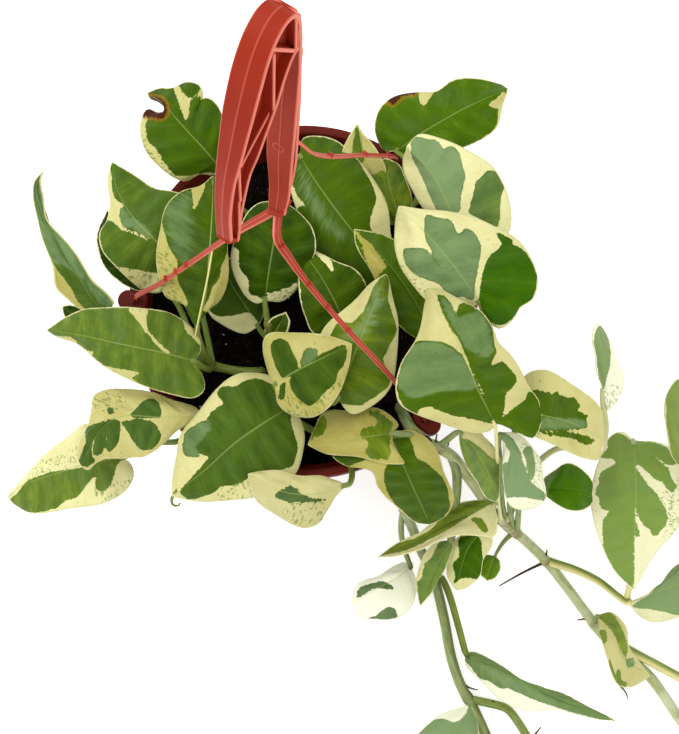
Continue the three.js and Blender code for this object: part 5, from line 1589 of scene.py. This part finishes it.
def make_lug(degrees):
    """A block on the rim with a round outer end, and the socket for a strand."""
    turn = np.column_stack([around(degrees, 1, 0), around(degrees + 90, 1, 0), UP])
    deselect()
    bpy.ops.mesh.primitive_cylinder_add(vertices=48, radius=LUG_HALF * MM, depth=LUG_DEPTH * MM)
    lug = bpy.context.object
    for vertex in lug.data.vertices:
        if vertex.co.x < 0:
            vertex.co.x -= LUG_INWARD * MM
    bpy.ops.object.mode_set(mode="EDIT")
    bpy.ops.mesh.select_all(action="DESELECT")
    bpy.ops.mesh.select_face_by_sides(number=4, type="GREATER")
    bpy.ops.mesh.bevel(offset=LUG_BEVEL * MM, segments=4, affect="EDGES")
    bpy.ops.object.mode_set(mode="OBJECT")
    set_in_place(lug, turn, around(degrees, LUG_OUTSIDE - LUG_HALF, LUG_TOP - LUG_DEPTH / 2))
    cut(lug, [small_block("socket", around(degrees, SOCKET_RADIUS, LUG_TOP), SOCKET_SIZE, turn, 0.2)])
    return lug


def make_pot():
    outside = [(0, 0), (30, 0), (50, 0), (54.5, 0), (56, 0.6), (56.8, 2)]
    for height in STEPS:
        above = height + STEP_RISE
        outside += [(wall_radius(height) - STEP_IN, height), (wall_radius(above), above)]
    inside = [(wall_radius(height) - POT_WALL, height) for height in (BAND - 1, 100, 80, 60, 40, 20, 6)]
    floor = [(radius, POT_FLOOR) for radius in (BASE_RADIUS - POT_WALL - 1.5, 45, 30, 0)]
    pot = turned("pot_wall", [*outside, *RIM_PROFILE, *inside, *floor], 128)
    drains = []
    for hole in range(6):
        deselect()
        bpy.ops.mesh.primitive_cylinder_add(
            vertices=24, radius=DRAIN_RADIUS * MM, depth=8 * MM,
            location=tuple(around(60 * hole, DRAIN_CIRCLE, POT_FLOOR / 2) * MM))
        drains.append(bpy.context.object)
    cut(pot, drains)
    pot = joined("nursery_pot", [pot, *(make_lug(STRANDS[name][-1]) for name in ("left", "back", "front"))])
    set_places(pot, drawn_back(mesh_places(pot)))
    pot.data.materials.clear()
    coat_and_finish(pot, POT, 30, "pot")


make_pot()


# The peat, with its lumps, crumbs and small white grains

PEAT_SEED = 31
PEAT_GAP = 0.5
PEAT_BOTTOM = 3
# The peat lies level within this distance of the wall
PEAT_EDGE = 6
DEEPEST, HIGHEST = -2.6, 2.0
# The waves of the uneven top, and the reach of what is drawn for each: across, away, phase and height
PEAT_WAVES = 26
WAVE_REACH = (0.55, 0.55, math.pi, 0.55)
# How many, and their least and greatest radius
CRUMBS = {"crumbs": (420, (0.7, 2.0), PEAT), "white_grains": (46, (0.5, 1.2), GRAIN)}


def make_peat():
    draw = np.random.default_rng(PEAT_SEED)
    edge = wall_radius(SOIL_HEIGHT) - POT_WALL - PEAT_GAP
    waves = draw.uniform(-1, 1, (PEAT_WAVES, 4)) * WAVE_REACH

    def surface(places):
        rise = np.zeros(len(places))
        for across, away, phase, height in waves:
            rise += height * np.sin(places[:, 0] * across + places[:, 1] * away + phase)
        distance = np.linalg.norm(places[:, :2], axis=1)
        return SOIL_HEIGHT + np.clip(rise, DEEPEST, HIGHEST) * np.clip((edge - distance) / PEAT_EDGE, 0, 1)

    peat = turned("peat", [
        (0, PEAT_BOTTOM), (BASE_RADIUS - POT_WALL - 2 * PEAT_GAP, PEAT_BOTTOM),
        (wall_radius(60) - POT_WALL - PEAT_GAP, 60), (edge, SOIL_HEIGHT - 2),
        *((edge * share, SOIL_HEIGHT) for share in np.linspace(1, 0.01, 60)), (0, SOIL_HEIGHT)], 160)
    places = mesh_places(peat)
    top = places[:, 2] > SOIL_HEIGHT - 1
    places[top, 2] = surface(places[top])
    set_places(peat, drawn_back(places))
    coat_and_finish(peat, PEAT, None, "soil")
    for name, (count, sizes, material) in CRUMBS.items():
        deselect()
        bpy.ops.mesh.primitive_ico_sphere_add(subdivisions=1, radius=MM)
        grains = [bpy.context.object]
        for number in range(count):
            angle, radius = draw.uniform(0, 2 * math.pi), (edge - 2) * math.sqrt(draw.uniform())
            place = np.array([radius * math.cos(angle), radius * math.sin(angle), 0])
            place[2] = surface(place[None])[0] + 0.2
            if number:
                copy = grains[0].copy()
                copy.data = grains[0].data.copy()
                bpy.context.collection.objects.link(copy)
                grains.append(copy)
            grain = grains[-1]
            grain.location = tuple(place * MM)
            grain.rotation_euler = tuple(draw.uniform(0, 3, 3))
            grain.scale = tuple(draw.uniform(*sizes) * draw.uniform(0.6, 1.2, 3))
        coat_and_finish(joined(name, grains), material, None, "soil")


make_peat()


# Floor and light

SOFT_BOXES = {
    # Place, turn in degrees, size and power
    "soft_box_left": ((-0.75, 0.35, 1.35), (-18, -28, 0), 1.1, 11),
    "soft_box_right": ((0.9, -0.7, 1.2), (32, 34, 0), 1.2, 4),
}
SKY_STRENGTH = 0.98
FLOOR_GLOW = 0.34
FLOOR_SIZE = 6
FLOOR_DROP = 0.0004


def floor_finish():
    floor = Finish("white_floor", mapped=False)
    colour = floor.mix(floor.noise(EVEN, 3, 2), (0.965, 0.965, 0.965, 1), (0.98, 0.98, 0.978, 1))
    return floor.surface(
        Base_Color=colour, Roughness=0.8, Specular_IOR_Level=0.1,
        Emission_Color=(1, 1, 0.985, 1), Emission_Strength=FLOOR_GLOW)


def make_studio():
    deselect()
    bpy.ops.mesh.primitive_plane_add(size=FLOOR_SIZE, location=(0, 0, -FLOOR_DROP))
    floor = bpy.context.object
    floor.name = "floor"
    settle(floor)
    floor.data.materials.append(floor_finish())
    world = bpy.data.worlds.new("studio")
    bpy.context.scene.world = world
    world.use_nodes = True
    background = world.node_tree.nodes["Background"]
    background.inputs["Color"].default_value = (1, 1, 1, 1)
    background.inputs["Strength"].default_value = SKY_STRENGTH
    for name, (place, turn, size, power) in SOFT_BOXES.items():
        bpy.ops.object.light_add(type="AREA", location=place, rotation=tuple(math.radians(a) for a in turn))
        light = bpy.context.object
        light.name = light.data.name = name
        light.data.shape = "SQUARE"
        light.data.size = size
        light.data.energy = power
    bpy.context.scene.view_settings.view_transform = "Standard"


make_studio()
